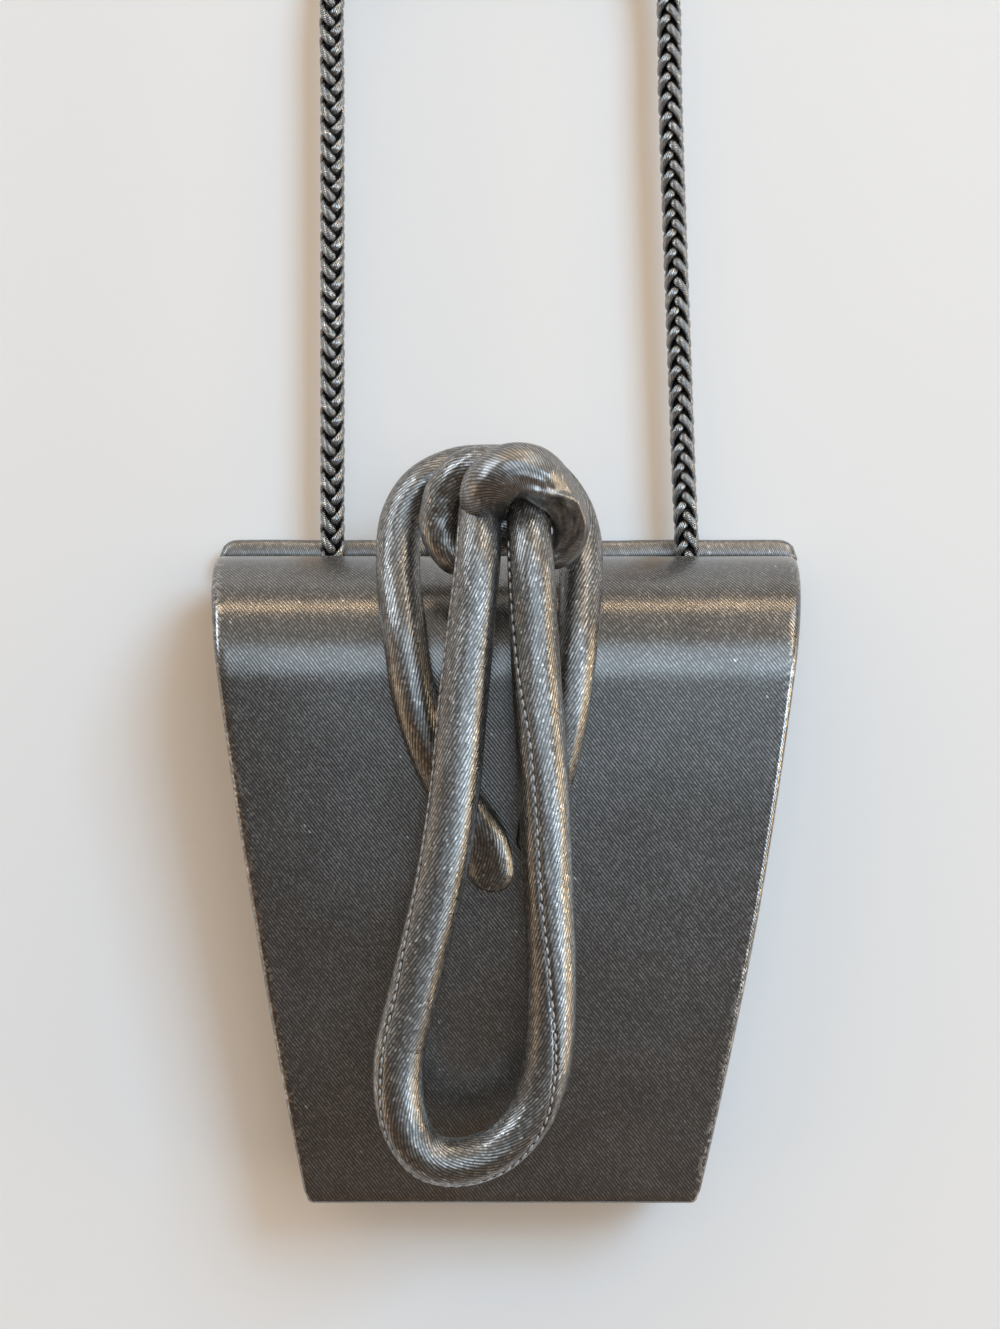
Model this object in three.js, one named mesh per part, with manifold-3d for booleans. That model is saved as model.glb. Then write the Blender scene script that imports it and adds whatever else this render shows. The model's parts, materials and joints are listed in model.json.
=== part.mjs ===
// Evening clutch in satin: a stiff flap bag on a round braided shoulder cord, with a teardrop of
// stuffed tube sewn to the flap and a hand loop hitched onto it.
// Millimetres, +Z up, the front faces -Y. The origin is where the taut cord hangs.
import * as THREE from 'three';
import { mergeVertices } from 'three/addons/utils/BufferGeometryUtils.js';
import Module from 'manifold-3d';

const wasm = await Module();
wasm.setup();

// Bag outline, seen from the front
const HEIGHT = 148; // base to the crest of the flap
const TOP_WIDTH = 135; // across the flap at the crest
const BASE_WIDTH = 89; // across the bag at the base
const SIDE_BOW = 1.3; // how far each side edge bows out of straight
const CORNER_RADIUS = 3; // lower corners
const SIDE_STEPS = 8; // straight pieces along a bowed side

// Bag section, seen from the side
const SHOULDER_RADIUS = 27; // round shoulder of the flap
const FRONT_TILT = THREE.MathUtils.degToRad(5); // the front leans back towards the base
const HINGE_SPACE = 7.4; // from the flap's rear edge to the back panel, where the cord comes out
const ARC_STEPS = 12;

// Layers
const GAP = 0.3; // between pieces that touch
const SATIN = 0.8; // outer fabric with its wadding
const BOARD = 1.8; // stiffener of every panel
const LINING = 0.6;
const PANEL = SATIN + GAP + BOARD + GAP + LINING; // thickness of a finished panel

// Box under the flap
const WALL_DROP = 8; // front wall's top, below the shoulder's centre
const WALL_INSET = 2.5; // front wall and base stand inside the flap's side edges
const GUSSET = 1.2; // folded satin side wall
const GUSSET_INSET = 4.2; // side walls stand inside the back panel's side edges
const BACK_DROP = 5; // back panel's top under its roll, below the crest
const ROLL_RISE = 4.3; // top of the padded roll, above the crest
const ROLL_END_RADIUS = 4; // rounding at the roll's two ends
const GUSSET_DROP = 9; // side walls' top at the back panel, below the crest

// Fabric hinge and shoulder cord
const CORD_DIAMETER = 5.4;
const CORD_CLEARANCE = 0.25; // round the cord in its holes
const STRIP = 0.8; // hinge strip thickness
const STRIP_DROP = 2.8; // hinge strip below the crest
const STRIP_END_INSET = 1.5; // hinge strip inside the flap's side edges
const SLEEVE_WIDTH = 14;
const SLEEVE_HEIGHT = 20;
const SLEEVE_WALL = 1.5; // in front of the cord
const SLEEVE_FLOOR = 2.5; // under the cord's end
const SLEEVE_DROP = 7; // top of the sleeve below the crest
const SLEEVE_ROUND = 3;
const CORD_SIDES = 10;
const CORD_STEPS = 34;

// Magnetic snap
const SNAP_HEIGHT = 34; // above the base
const SNAP_RADIUS = 8;
const SNAP_HALF = 1.2; // thickness of each half
const SNAP_POST_RADIUS = 2;
const WASHER_RADIUS = 6;
const WASHER = 0.6;
const ROUND_SIDES = 16; // discs and bores
const SNAP_SPACE = 2 * SNAP_HALF + 3 * GAP; // between the flap's lining and the front wall

// Stuffed tubes
const ANCHOR_RADIUS = 5; // teardrop sewn to the flap
const ANCHOR_DROP = 63.8; // its sewn tip, below the crest
const ANCHOR_LEAN = 5; // its top, behind the front of the shoulder
const KNOT_RADIUS = 5; // hitch
const HAND_RADIUS = 5.4; // hand loop
const HAND_LENGTH = 132; // from its swing axis to the lowest turn
const SWING_DROP = 2; // swing axis of the hand loop, below the crest
const STUB_TOP = 12.2; // where its legs end inside the hitch, above the crest
const TIP_WIDTH = 10.5; // flattened end of the teardrop
const TIP_LENGTH = 15;
const TIP_THICKNESS = 6;
const TIP_DROP = 4.2; // its middle, below the tip of the teardrop
const TUBE_SIDES = 10;
const STRAND_STEPS = 20;
const HITCH_STEPS = 14;
const HAND_STEPS = 44;

const MERGE = 1e-4; // corners closer than this are one

const satin = new THREE.MeshStandardMaterial({ color: 0x6f6e6d, roughness: 0.42, metalness: 0.55 });
const braid = new THREE.MeshStandardMaterial({ color: 0x6b6d6d, roughness: 0.38, metalness: 0.6 });
const lining = new THREE.MeshStandardMaterial({ color: 0x4a4a4c, roughness: 0.7, metalness: 0.1 });
const board = new THREE.MeshStandardMaterial({ color: 0xb9a98c, roughness: 0.9, metalness: 0 });
const steel = new THREE.MeshStandardMaterial({ color: 0xb4b5b8, roughness: 0.3, metalness: 0.9 });

// A closed solid from a geometry: shared corners are merged, and triangles left with no area go
function solid(geometry) {
  const bare = geometry.index ? geometry : geometry.clone();
  bare.deleteAttribute('normal');
  bare.deleteAttribute('uv');
  const merged = mergeVertices(bare, MERGE);
  const corners = merged.index.array;
  const triangles = [];
  for (let i = 0; i < corners.length; i += 3) {
    const [a, b, c] = corners.slice(i, i + 3);
    if (a !== b && b !== c && c !== a) triangles.push(a, b, c);
  }
  return new wasm.Manifold(new wasm.Mesh({
    numProp: 3,
    vertProperties: new Float32Array(merged.attributes.position.array),
    triVerts: new Uint32Array(triangles),
  }));
}

function piece(name, body, material) {
  const { vertProperties, triVerts } = body.getMesh();
  const geometry = new THREE.BufferGeometry();
  geometry.setAttribute('position', new THREE.BufferAttribute(vertProperties, 3));
  geometry.setIndex(new THREE.BufferAttribute(triVerts, 1));
  geometry.computeVertexNormals();
  const mesh = new THREE.Mesh(geometry, material);
  mesh.name = name;
  return mesh;
}

// A shape drawn in x and z, from yFront to yBack
function plate(shape, yFront, yBack) {
  const options = { depth: yBack - yFront, bevelEnabled: false, curveSegments: 4 };
  const geometry = new THREE.ExtrudeGeometry(shape, options);
  geometry.rotateX(Math.PI / 2);
  geometry.translate(0, yBack, 0);
  return solid(geometry);
}

// A shape drawn in y and z, across the bag from xLeft to xRight
function section(shape, xLeft, xRight) {
  const options = { depth: xRight - xLeft, bevelEnabled: false, curveSegments: ARC_STEPS };
  const geometry = new THREE.ExtrudeGeometry(shape, options);
  const across = new THREE.Matrix4().makeBasis(
    new THREE.Vector3(0, 1, 0),
    new THREE.Vector3(0, 0, 1),
    new THREE.Vector3(1, 0, 0),
  );
  geometry.applyMatrix4(across);
  geometry.translate(xLeft, 0, 0);
  return solid(geometry);
}

function box(xLeft, xRight, yFront, yBack, zLow, zHigh) {
  const geometry = new THREE.BoxGeometry(xRight - xLeft, yBack - yFront, zHigh - zLow);
  geometry.translate((xLeft + xRight) / 2, (yFront + yBack) / 2, (zLow + zHigh) / 2);
  return solid(geometry);
}

// Half the bag's width at a height: a straight taper with a slight bow
function halfWidth(z) {
  const t = z / HEIGHT;
  return THREE.MathUtils.lerp(BASE_WIDTH, TOP_WIDTH, t) / 2 + SIDE_BOW * 4 * t * (1 - t);
}

function sideHeights(low, high) {
  return Array.from({ length: SIDE_STEPS + 1 }, (_, i) => THREE.MathUtils.lerp(low, high, i / SIDE_STEPS));
}

// Front outline of a panel, set in from the bag's side edges
function outline(inset, low, high) {
  const shape = new THREE.Shape();
  const foot = halfWidth(low) - inset;
  const heights = sideHeights(low + CORNER_RADIUS, high);
  shape.moveTo(CORNER_RADIUS - foot, low);
  shape.lineTo(foot - CORNER_RADIUS, low);
  shape.quadraticCurveTo(foot, low, halfWidth(heights[0]) - inset, heights[0]);
  heights.slice(1).forEach((z) => shape.lineTo(halfWidth(z) - inset, z));
  heights.reverse().forEach((z) => shape.lineTo(inset - halfWidth(z), z));
  shape.quadraticCurveTo(-foot, low, CORNER_RADIUS - foot, low);
  return shape;
}

// Flap: the shoulder is an arc round this centre, and the front runs straight on from its end
const shoulderZ = HEIGHT - SHOULDER_RADIUS;
const arcEnd = Math.PI + FRONT_TILT;
const straight = (shoulderZ - SHOULDER_RADIUS * Math.sin(FRONT_TILT)) / Math.cos(FRONT_TILT);

// A point of the straight front: depth below its outer face, and distance down from the shoulder
function frontPoint(depth, down) {
  const r = SHOULDER_RADIUS - depth;
  return new THREE.Vector2(
    r * Math.cos(arcEnd) + down * Math.sin(FRONT_TILT),
    shoulderZ + r * Math.sin(arcEnd) - down * Math.cos(FRONT_TILT),
  );
}

// Section of a flap layer between two depths, set in at the hinge and at the lower edge
function flapLayer(outer, inner, inset) {
  const shape = new THREE.Shape();
  const start = Math.PI / 2 + inset / SHOULDER_RADIUS;
  const down = straight - inset;
  shape.absarc(0, shoulderZ, SHOULDER_RADIUS - outer, start, arcEnd, false);
  shape.lineTo(...frontPoint(outer, down));
  shape.lineTo(...frontPoint(inner, down));
  shape.absarc(0, shoulderZ, SHOULDER_RADIUS - inner, arcEnd, start, true);
  if (inset === 0) {
    shape.absarc(0, HEIGHT - (outer + inner) / 2, (inner - outer) / 2, -Math.PI / 2, Math.PI / 2, false);
  }
  return shape;
}

function flapBody(outer, inner, inset) {
  const across = section(flapLayer(outer, inner, inset), -TOP_WIDTH, TOP_WIDTH);
  const face = outline(inset, inset * Math.cos(FRONT_TILT), HEIGHT + PANEL);
  return across.intersect(plate(face, -2 * SHOULDER_RADIUS, SHOULDER_RADIUS));
}

// A disc of the snap, square to the front, between two depths
function snapDisc(radius, outer, inner) {
  const geometry = new THREE.CylinderGeometry(radius, radius, inner - outer, ROUND_SIDES);
  geometry.translate(0, (outer + inner) / 2, 0);
  geometry.rotateX(FRONT_TILT);
  const seat = frontPoint(0, straight - SNAP_HEIGHT);
  geometry.translate(0, seat.x, seat.y);
  return solid(geometry);
}

const boardDepth = SATIN + GAP;
const liningDepth = boardDepth + BOARD + GAP;
const snapHole = SNAP_POST_RADIUS + GAP;

function makeFlap() {
  const past = PANEL + SHOULDER_RADIUS / 4;
  const hole = snapDisc(snapHole, boardDepth - GAP / 2, past);
  const recess = snapDisc(WASHER_RADIUS + GAP, 0, boardDepth + WASHER + GAP);
  const washerFace = boardDepth + WASHER;
  const washer = snapDisc(WASHER_RADIUS, boardDepth, washerFace);
  const studFace = PANEL + GAP;
  const post = snapDisc(SNAP_POST_RADIUS, boardDepth, studFace + SNAP_HALF / 2);
  const washerHole = snapDisc(snapHole, 0, past);
  const stiffener = flapBody(boardDepth, boardDepth + BOARD, boardDepth);
  return [
    piece('flap_cover', flapBody(0, PANEL, 0).subtract(flapBody(SATIN, past, SATIN)), satin),
    piece('flap_board', stiffener.subtract(recess).subtract(hole), board),
    piece('flap_lining', flapBody(liningDepth, PANEL, boardDepth).subtract(hole), lining),
    piece('magnet_stud', snapDisc(SNAP_RADIUS, studFace, studFace + SNAP_HALF).add(post), steel),
    piece('stud_washer', washer.subtract(washerHole), steel),
  ];
}

// Box under the flap
const wallDepth = PANEL + SNAP_SPACE; // outer face of the front wall
const cavityDepth = wallDepth + PANEL; // its inner face
const backInner = PANEL / 2 + HINGE_SPACE; // inner face of the back panel
const backOuter = backInner + PANEL;
const backTop = HEIGHT - BACK_DROP;
const wallTop = straight - (shoulderZ - WALL_DROP) / Math.cos(FRONT_TILT); // down from the shoulder

// Section of a slab that lies parallel to the front
function slab(outer, inner, high, low) {
  const shape = new THREE.Shape();
  shape.moveTo(...frontPoint(outer, high));
  shape.lineTo(...frontPoint(outer, low));
  shape.lineTo(...frontPoint(inner, low));
  shape.lineTo(...frontPoint(inner, high));
  return shape;
}

function wallBody(outer, inner, inset) {
  const across = section(slab(outer, inner, wallTop + inset, straight - inset), -TOP_WIDTH, TOP_WIDTH);
  const face = outline(WALL_INSET + inset, -CORNER_RADIUS, HEIGHT);
  return across.intersect(plate(face, -2 * SHOULDER_RADIUS, backOuter));
}

function makeFrontWall() {
  const past = cavityDepth + PANEL;
  const hole = snapDisc(snapHole, wallDepth - GAP, cavityDepth - LINING - GAP / 2);
  const washerFace = wallDepth + boardDepth + BOARD;
  const recess = snapDisc(WASHER_RADIUS + GAP, washerFace - WASHER - GAP, past);
  const post = snapDisc(SNAP_POST_RADIUS, wallDepth - GAP - SNAP_HALF / 2, washerFace);
  const socket = snapDisc(SNAP_RADIUS, wallDepth - GAP - SNAP_HALF, wallDepth - GAP);
  const washer = snapDisc(WASHER_RADIUS, washerFace - WASHER, washerFace);
  const cover = wallBody(wallDepth, cavityDepth, 0).subtract(wallBody(wallDepth + SATIN, past, SATIN));
  const stiffener = wallBody(wallDepth + boardDepth, washerFace, boardDepth);
  return [
    piece('front_cover', cover.subtract(hole), satin),
    piece('front_board', stiffener.subtract(recess).subtract(hole), board),
    piece('front_lining', wallBody(wallDepth + liningDepth, cavityDepth, boardDepth), lining),
    piece('magnet_socket', socket.add(post), steel),
    piece('socket_washer', washer.subtract(hole), steel),
  ];
}

function backBody(inset, yFront, yBack) {
  return plate(outline(inset, inset, backTop - inset), yFront, yBack);
}

function makeBackPanel() {
  const liningBack = backInner + LINING;
  const boardFront = liningBack + GAP;
  const boardBack = boardFront + BOARD;
  const pocket = backBody(SATIN, backInner - PANEL, backOuter - SATIN);
  return [
    piece('back_cover', backBody(0, backInner, backOuter).subtract(pocket), satin),
    piece('back_board', backBody(boardDepth, boardFront, boardBack), board),
    piece('back_lining', backBody(boardDepth, backInner, liningBack), lining),
    piece('back_top_roll', makeRoll(), satin),
  ];
}

// Padded roll on the back panel's top edge, round along its top and at both ends
function makeRoll() {
  const low = backTop + GAP;
  const top = HEIGHT + ROLL_RISE;
  const radius = PANEL / 2;
  const half = halfWidth(HEIGHT);
  const profile = new THREE.Shape();
  const middle = (backInner + backOuter) / 2;
  profile.moveTo(backInner, low);
  profile.lineTo(backOuter, low);
  profile.absarc(middle, top - radius, radius, 0, Math.PI, false);
  const face = new THREE.Shape();
  face.moveTo(-half, low);
  face.lineTo(half, low);
  face.absarc(half - ROLL_END_RADIUS, top - ROLL_END_RADIUS, ROLL_END_RADIUS, 0, Math.PI / 2, false);
  face.absarc(ROLL_END_RADIUS - half, top - ROLL_END_RADIUS, ROLL_END_RADIUS, Math.PI / 2, Math.PI, false);
  const rounded = section(profile, -TOP_WIDTH, TOP_WIDTH);
  return rounded.intersect(plate(face, backInner - PANEL, backOuter + PANEL));
}

// Space between the front wall and the back panel, from just under the base to a slanted mouth
function cavity() {
  const shape = new THREE.Shape();
  const depth = cavityDepth + GAP;
  shape.moveTo(...frontPoint(depth, straight + PANEL));
  shape.lineTo(backInner - GAP, -PANEL);
  shape.lineTo(backInner - GAP, HEIGHT - GUSSET_DROP);
  shape.lineTo(...frontPoint(depth, wallTop));
  return section(shape, -TOP_WIDTH, TOP_WIDTH);
}

// A side wall layer: a strip that follows the bowed side, between two insets
function sideStrip(outer, inner, side) {
  const heights = sideHeights(PANEL + GAP, HEIGHT);
  const shape = new THREE.Shape();
  heights.forEach((z, i) => {
    const x = side * (halfWidth(z) - outer);
    if (i === 0) shape.moveTo(x, z);
    else shape.lineTo(x, z);
  });
  heights.reverse().forEach((z) => shape.lineTo(side * (halfWidth(z) - inner), z));
  return plate(shape, -2 * SHOULDER_RADIUS, backOuter).intersect(cavity());
}

function makeSides() {
  const lined = GUSSET_INSET + GUSSET + GAP;
  return [['left', -1], ['right', 1]].flatMap(([name, side]) => [
    piece(`${name}_gusset`, sideStrip(GUSSET_INSET, GUSSET_INSET + GUSSET, side), satin),
    piece(`${name}_gusset_lining`, sideStrip(lined, lined + LINING, side), lining),
  ]);
}

function makeBase() {
  const half = halfWidth(0) - WALL_INSET;
  const front = -2 * SHOULDER_RADIUS;
  const layer = (inset, low, high) => box(inset - half, half - inset, front, backOuter, low, high);
  const trimmed = (inset, low, high) => layer(inset, low, high).intersect(cavity());
  const boardLow = boardDepth;
  const liningLow = boardLow + BOARD + GAP;
  return [
    piece('base_cover', trimmed(0, 0, SATIN), satin),
    piece('base_board', trimmed(0, boardLow, boardLow + BOARD), board),
    piece('base_lining', trimmed(0, liningLow, PANEL), lining),
  ];
}

// Shoulder cord: up out of the bag on both sides, taut to a round turn where it hangs
const cordY = PANEL / 2 + HINGE_SPACE / 2;
const sleeveTop = HEIGHT - SLEEVE_DROP;
const cordEnd = sleeveTop - SLEEVE_HEIGHT + SLEEVE_FLOOR + GAP;
const LEFT_EXIT = -41;
const RIGHT_EXIT = 43;
const CORD_ROUTE = [ // x, and height above the crest
  [-41, 20], [-41, 50], [-41, 80], [-41, 110], [-40.9, 134],
  [-38.3, 149], [-29, 162.7], [-15.4, 171.2], [0, 174],
  [14.2, 171.2], [27, 162.7], [35.7, 149], [38.3, 134],
  [38.9, 110], [39.9, 80], [41, 50], [42.1, 20],
];

function makeCord() {
  const points = [
    new THREE.Vector3(LEFT_EXIT, cordY, cordEnd),
    new THREE.Vector3(LEFT_EXIT, cordY, HEIGHT - STRIP_DROP),
    ...CORD_ROUTE.map(([x, up]) => new THREE.Vector3(x, cordY, HEIGHT + up)),
    new THREE.Vector3(RIGHT_EXIT, cordY, HEIGHT - STRIP_DROP),
    new THREE.Vector3(RIGHT_EXIT, cordY, cordEnd),
  ];
  const curve = new THREE.CatmullRomCurve3(points, false, 'centripetal');
  return piece('strap_cord', solid(tube(curve, CORD_DIAMETER / 2, CORD_SIDES, CORD_STEPS)), braid);
}

function tube(curve, radius, sides, steps) {
  const ring = new THREE.Shape();
  for (let i = 0; i < sides; i += 1) {
    const angle = (2 * Math.PI * i) / sides;
    if (i === 0) ring.moveTo(radius, 0);
    else ring.lineTo(radius * Math.cos(angle), radius * Math.sin(angle));
  }
  return new THREE.ExtrudeGeometry(ring, { steps, extrudePath: curve });
}

function upright(radius, x, y, low, high) {
  const geometry = new THREE.CylinderGeometry(radius, radius, high - low, ROUND_SIDES);
  geometry.rotateX(Math.PI / 2);
  geometry.translate(x, y, (low + high) / 2);
  return solid(geometry);
}

// Fabric strip between the flap's rear edge and the roll, with a hole for each end of the cord
function makeHingeStrip() {
  const half = halfWidth(HEIGHT) - STRIP_END_INSET;
  const low = HEIGHT - STRIP_DROP;
  const hole = CORD_DIAMETER / 2 + CORD_CLEARANCE;
  const strip = box(-half, half, PANEL / 2 + GAP, backInner - GAP, low, low + STRIP);
  const cut = (body, x) => body.subtract(upright(hole, x, cordY, low - STRIP, low + 2 * STRIP));
  return piece('hinge_strip', [LEFT_EXIT, RIGHT_EXIT].reduce(cut, strip), satin);
}

// Sewn sleeve on the back lining that holds one end of the cord
function makeSleeve(name, x) {
  const low = sleeveTop - SLEEVE_HEIGHT;
  const half = SLEEVE_WIDTH / 2;
  const shape = new THREE.Shape();
  shape.moveTo(x - half, sleeveTop);
  shape.lineTo(x - half, low + SLEEVE_ROUND);
  shape.quadraticCurveTo(x - half, low, x - half + SLEEVE_ROUND, low);
  shape.lineTo(x + half - SLEEVE_ROUND, low);
  shape.quadraticCurveTo(x + half, low, x + half, low + SLEEVE_ROUND);
  shape.lineTo(x + half, sleeveTop);
  const front = cordY - CORD_DIAMETER / 2 - SLEEVE_WALL;
  const bore = CORD_DIAMETER / 2 + CORD_CLEARANCE;
  const hollow = upright(bore, x, cordY, low + SLEEVE_FLOOR, sleeveTop + SLEEVE_ROUND);
  return piece(name, plate(shape, front, backInner - GAP).subtract(hollow), lining);
}

// Stuffed tubes. Each layer stands forward of the one before it.
const anchorY = ANCHOR_LEAN - SHOULDER_RADIUS; // teardrop above the flap
const knotY = anchorY - ANCHOR_RADIUS - KNOT_RADIUS - 2 * GAP; // hitch in front of it
const handY = knotY - KNOT_RADIUS - HAND_RADIUS - GAP; // hand loop in front of both

// A point above the flap's outer face, at a height below the crest
function onFlap(x, drop, lift) {
  const z = HEIGHT - drop;
  const reach = SHOULDER_RADIUS + lift;
  const round = Math.asin((z - shoulderZ) / reach);
  if (z - shoulderZ > reach * Math.sin(-FRONT_TILT)) {
    return new THREE.Vector3(x, -reach * Math.cos(round), z);
  }
  const down = (shoulderZ - reach * Math.sin(FRONT_TILT) - z) / Math.cos(FRONT_TILT);
  return new THREE.Vector3(x, frontPoint(-lift, down).x, z);
}

function above(x, y, up) {
  return new THREE.Vector3(x, y, HEIGHT + up);
}

// A tube with round ends
function roundTube(points, radius, steps) {
  const curve = new THREE.CatmullRomCurve3(points, false, 'centripetal');
  const ball = (p) => {
    const geometry = new THREE.SphereGeometry(radius, TUBE_SIDES, TUBE_SIDES / 2);
    geometry.rotateX(Math.PI / 2);
    geometry.translate(p.x, p.y, p.z);
    return solid(geometry);
  };
  const run = solid(tube(curve, radius, TUBE_SIDES, steps));
  return run.add(ball(points[0])).add(ball(points[points.length - 1]));
}

// Teardrop: two strands rise from the sewn tip over the flap and meet at the top.
// On the flap: x in tube radii, and the share of the way from the crest down to the tip.
const LEFT_ON_FLAP = [[-1.96, 0.903], [-3.02, 0.746], [-3.98, 0.528], [-4.5, 0.279], [-4.7, 0.149]];
const RIGHT_ON_FLAP = [[0.74, 0.92], [1.94, 0.746], [2.72, 0.528], [3.16, 0.279], [3.3, 0.149]];
// Above it: x and the height over the crest, in tube radii.
const LEFT_ABOVE = [[-4.8, -0.56], [-4.68, 1.64], [-3.76, 3.32], [-2.06, 3.84]];
const RIGHT_ABOVE = [[3.34, -0.56], [3.24, 0.8], [2.8, 2.12], [1.96, 3.2], [0.6, 3.76]];
const ANCHOR_TIP = [-0.4, 1];
const ANCHOR_TOP = [-0.72, 3.88];

function makeAnchor() {
  const lift = ANCHOR_RADIUS + 2 * GAP;
  const low = ([x, share]) => onFlap(x * ANCHOR_RADIUS, share * ANCHOR_DROP, lift);
  const high = ([x, up]) => above(x * ANCHOR_RADIUS, anchorY, up * ANCHOR_RADIUS);
  const strand = (onFlapRoute, aboveRoute) => roundTube(
    [low(ANCHOR_TIP), ...onFlapRoute.map(low), ...aboveRoute.map(high), high(ANCHOR_TOP)],
    ANCHOR_RADIUS,
    STRAND_STEPS,
  );
  const flat = new THREE.SphereGeometry(1, TUBE_SIDES, TUBE_SIDES);
  flat.scale(TIP_WIDTH / 2, TIP_THICKNESS / 2, TIP_LENGTH / 2);
  flat.rotateX(FRONT_TILT);
  const seat = onFlap(ANCHOR_TIP[0] * ANCHOR_RADIUS, ANCHOR_DROP + TIP_DROP, TIP_THICKNESS / 2 + GAP);
  flat.translate(seat.x, seat.y, seat.z);
  const left = strand(LEFT_ON_FLAP, LEFT_ABOVE);
  const right = strand(RIGHT_ON_FLAP, RIGHT_ABOVE);
  return piece('anchor_loop', left.add(right).add(solid(flat)), satin);
}

// Hitch: a wrap over the front, its left strand, and the tops of the hand loop's two legs.
// Each point is x, how far it stands behind its layer, and the height over the crest, in radii.
const WRAP_IN_FRONT = [[-0.82, -0.3, 2.5], [0.24, 0.3, 3.2], [1.56, 0.9, 3.06]];
const WRAP_BEHIND = [[2.58, -0.54, 2.12], [2.76, -0.14, 0.92], [2.42, 0, -0.04], [2.02, 0, -0.7]];
const LEFT_STRAND = [
  [-0.2, -0.6, 3.4], [-2.24, 0, 3.04], [-2.78, 0, 1.94],
  [-2.86, 0, 0.84], [-2.56, 0, -0.26], [-2.2, 0, -0.92],
];

function makeKnot() {
  const inLayer = (y) => ([x, back, up]) => above(
    x * KNOT_RADIUS,
    y + back * KNOT_RADIUS,
    up * KNOT_RADIUS,
  );
  const wrap = [...WRAP_IN_FRONT.map(inLayer(handY)), ...WRAP_BEHIND.map(inLayer(knotY))];
  const strand = LEFT_STRAND.map(inLayer(knotY));
  const stubLow = HEIGHT - SWING_DROP + HAND_RADIUS + GAP;
  const stub = ([, x]) => upright(HAND_RADIUS, x * HAND_RADIUS, handY, stubLow, HEIGHT + STUB_TOP);
  const tied = roundTube(wrap, KNOT_RADIUS, HITCH_STEPS).add(roundTube(strand, KNOT_RADIUS, HITCH_STEPS));
  return piece('loop_knot', tied.add(stub(HAND_LEFT[0])).add(stub(HAND_RIGHT[0])), satin);
}

// Hand loop: down the left leg, round the low turn and up the right leg.
// Each point is the share of the loop's length, x in tube radii and the lean back in tube radii.
const HAND_LEFT = [
  [0, -1.11, 0], [0.12, -1.41, -0.11], [0.24, -1.72, -0.22], [0.37, -2.02, -0.3], [0.505, -2.52, -0.22],
  [0.7, -3.63, -0.06], [0.836, -4.31, 0.06], [0.94, -3.85, 0.11],
];
const HAND_LOW = [1, -1.94, 0.15];
const HAND_RIGHT = [
  [0, 0.96, 0], [0.12, 1.09, -0.11], [0.24, 1.26, -0.22], [0.37, 1.48, -0.3], [0.505, 1.63, -0.22],
  [0.7, 1.8, -0.06], [0.836, 1.59, 0.06], [0.94, 0.3, 0.11],
];

function makeHandLoop() {
  const route = [...HAND_LEFT, HAND_LOW, ...HAND_RIGHT.toReversed()];
  const points = route.map(([share, x, back]) => above(
    x * HAND_RADIUS,
    handY + back * HAND_RADIUS,
    -SWING_DROP - share * HAND_LENGTH,
  ));
  return piece('hand_loop', roundTube(points, HAND_RADIUS, HAND_STEPS), satin);
}

const bag = new THREE.Group();
bag.add(
  ...makeFlap(),
  ...makeFrontWall(),
  ...makeBackPanel(),
  ...makeSides(),
  ...makeBase(),
  makeHingeStrip(),
  makeSleeve('strap_sleeve_left', LEFT_EXIT),
  makeSleeve('strap_sleeve_right', RIGHT_EXIT),
  makeCord(),
  makeAnchor(),
  makeKnot(),
  makeHandLoop(),
);

// The cord's turn lies over whatever the bag hangs on: that inner top of the turn is the origin
const turnTop = Math.max(...CORD_ROUTE.map(([, up]) => up));
bag.position.set(0, -cordY, -(HEIGHT + turnTop - CORD_DIAMETER / 2));

const clutch = new THREE.Group();
clutch.add(bag);

export default clutch;
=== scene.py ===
# %% [markdown]
# # A satin evening clutch on a braided cord
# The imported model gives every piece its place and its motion. This lesson dresses it: fabric that
# turns round the boards, stuffed tubes tied in a hitch, a braid of eight strands, and the finishes.
# Sizes are in millimetres on the bag itself, with heights counted from its base, and one function
# takes them into the frame's metres.

# %% The frame
import json
import math

import bmesh
import bpy
import numpy as np
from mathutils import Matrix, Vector, noise
from mathutils.geometry import interpolate_bezier


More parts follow.
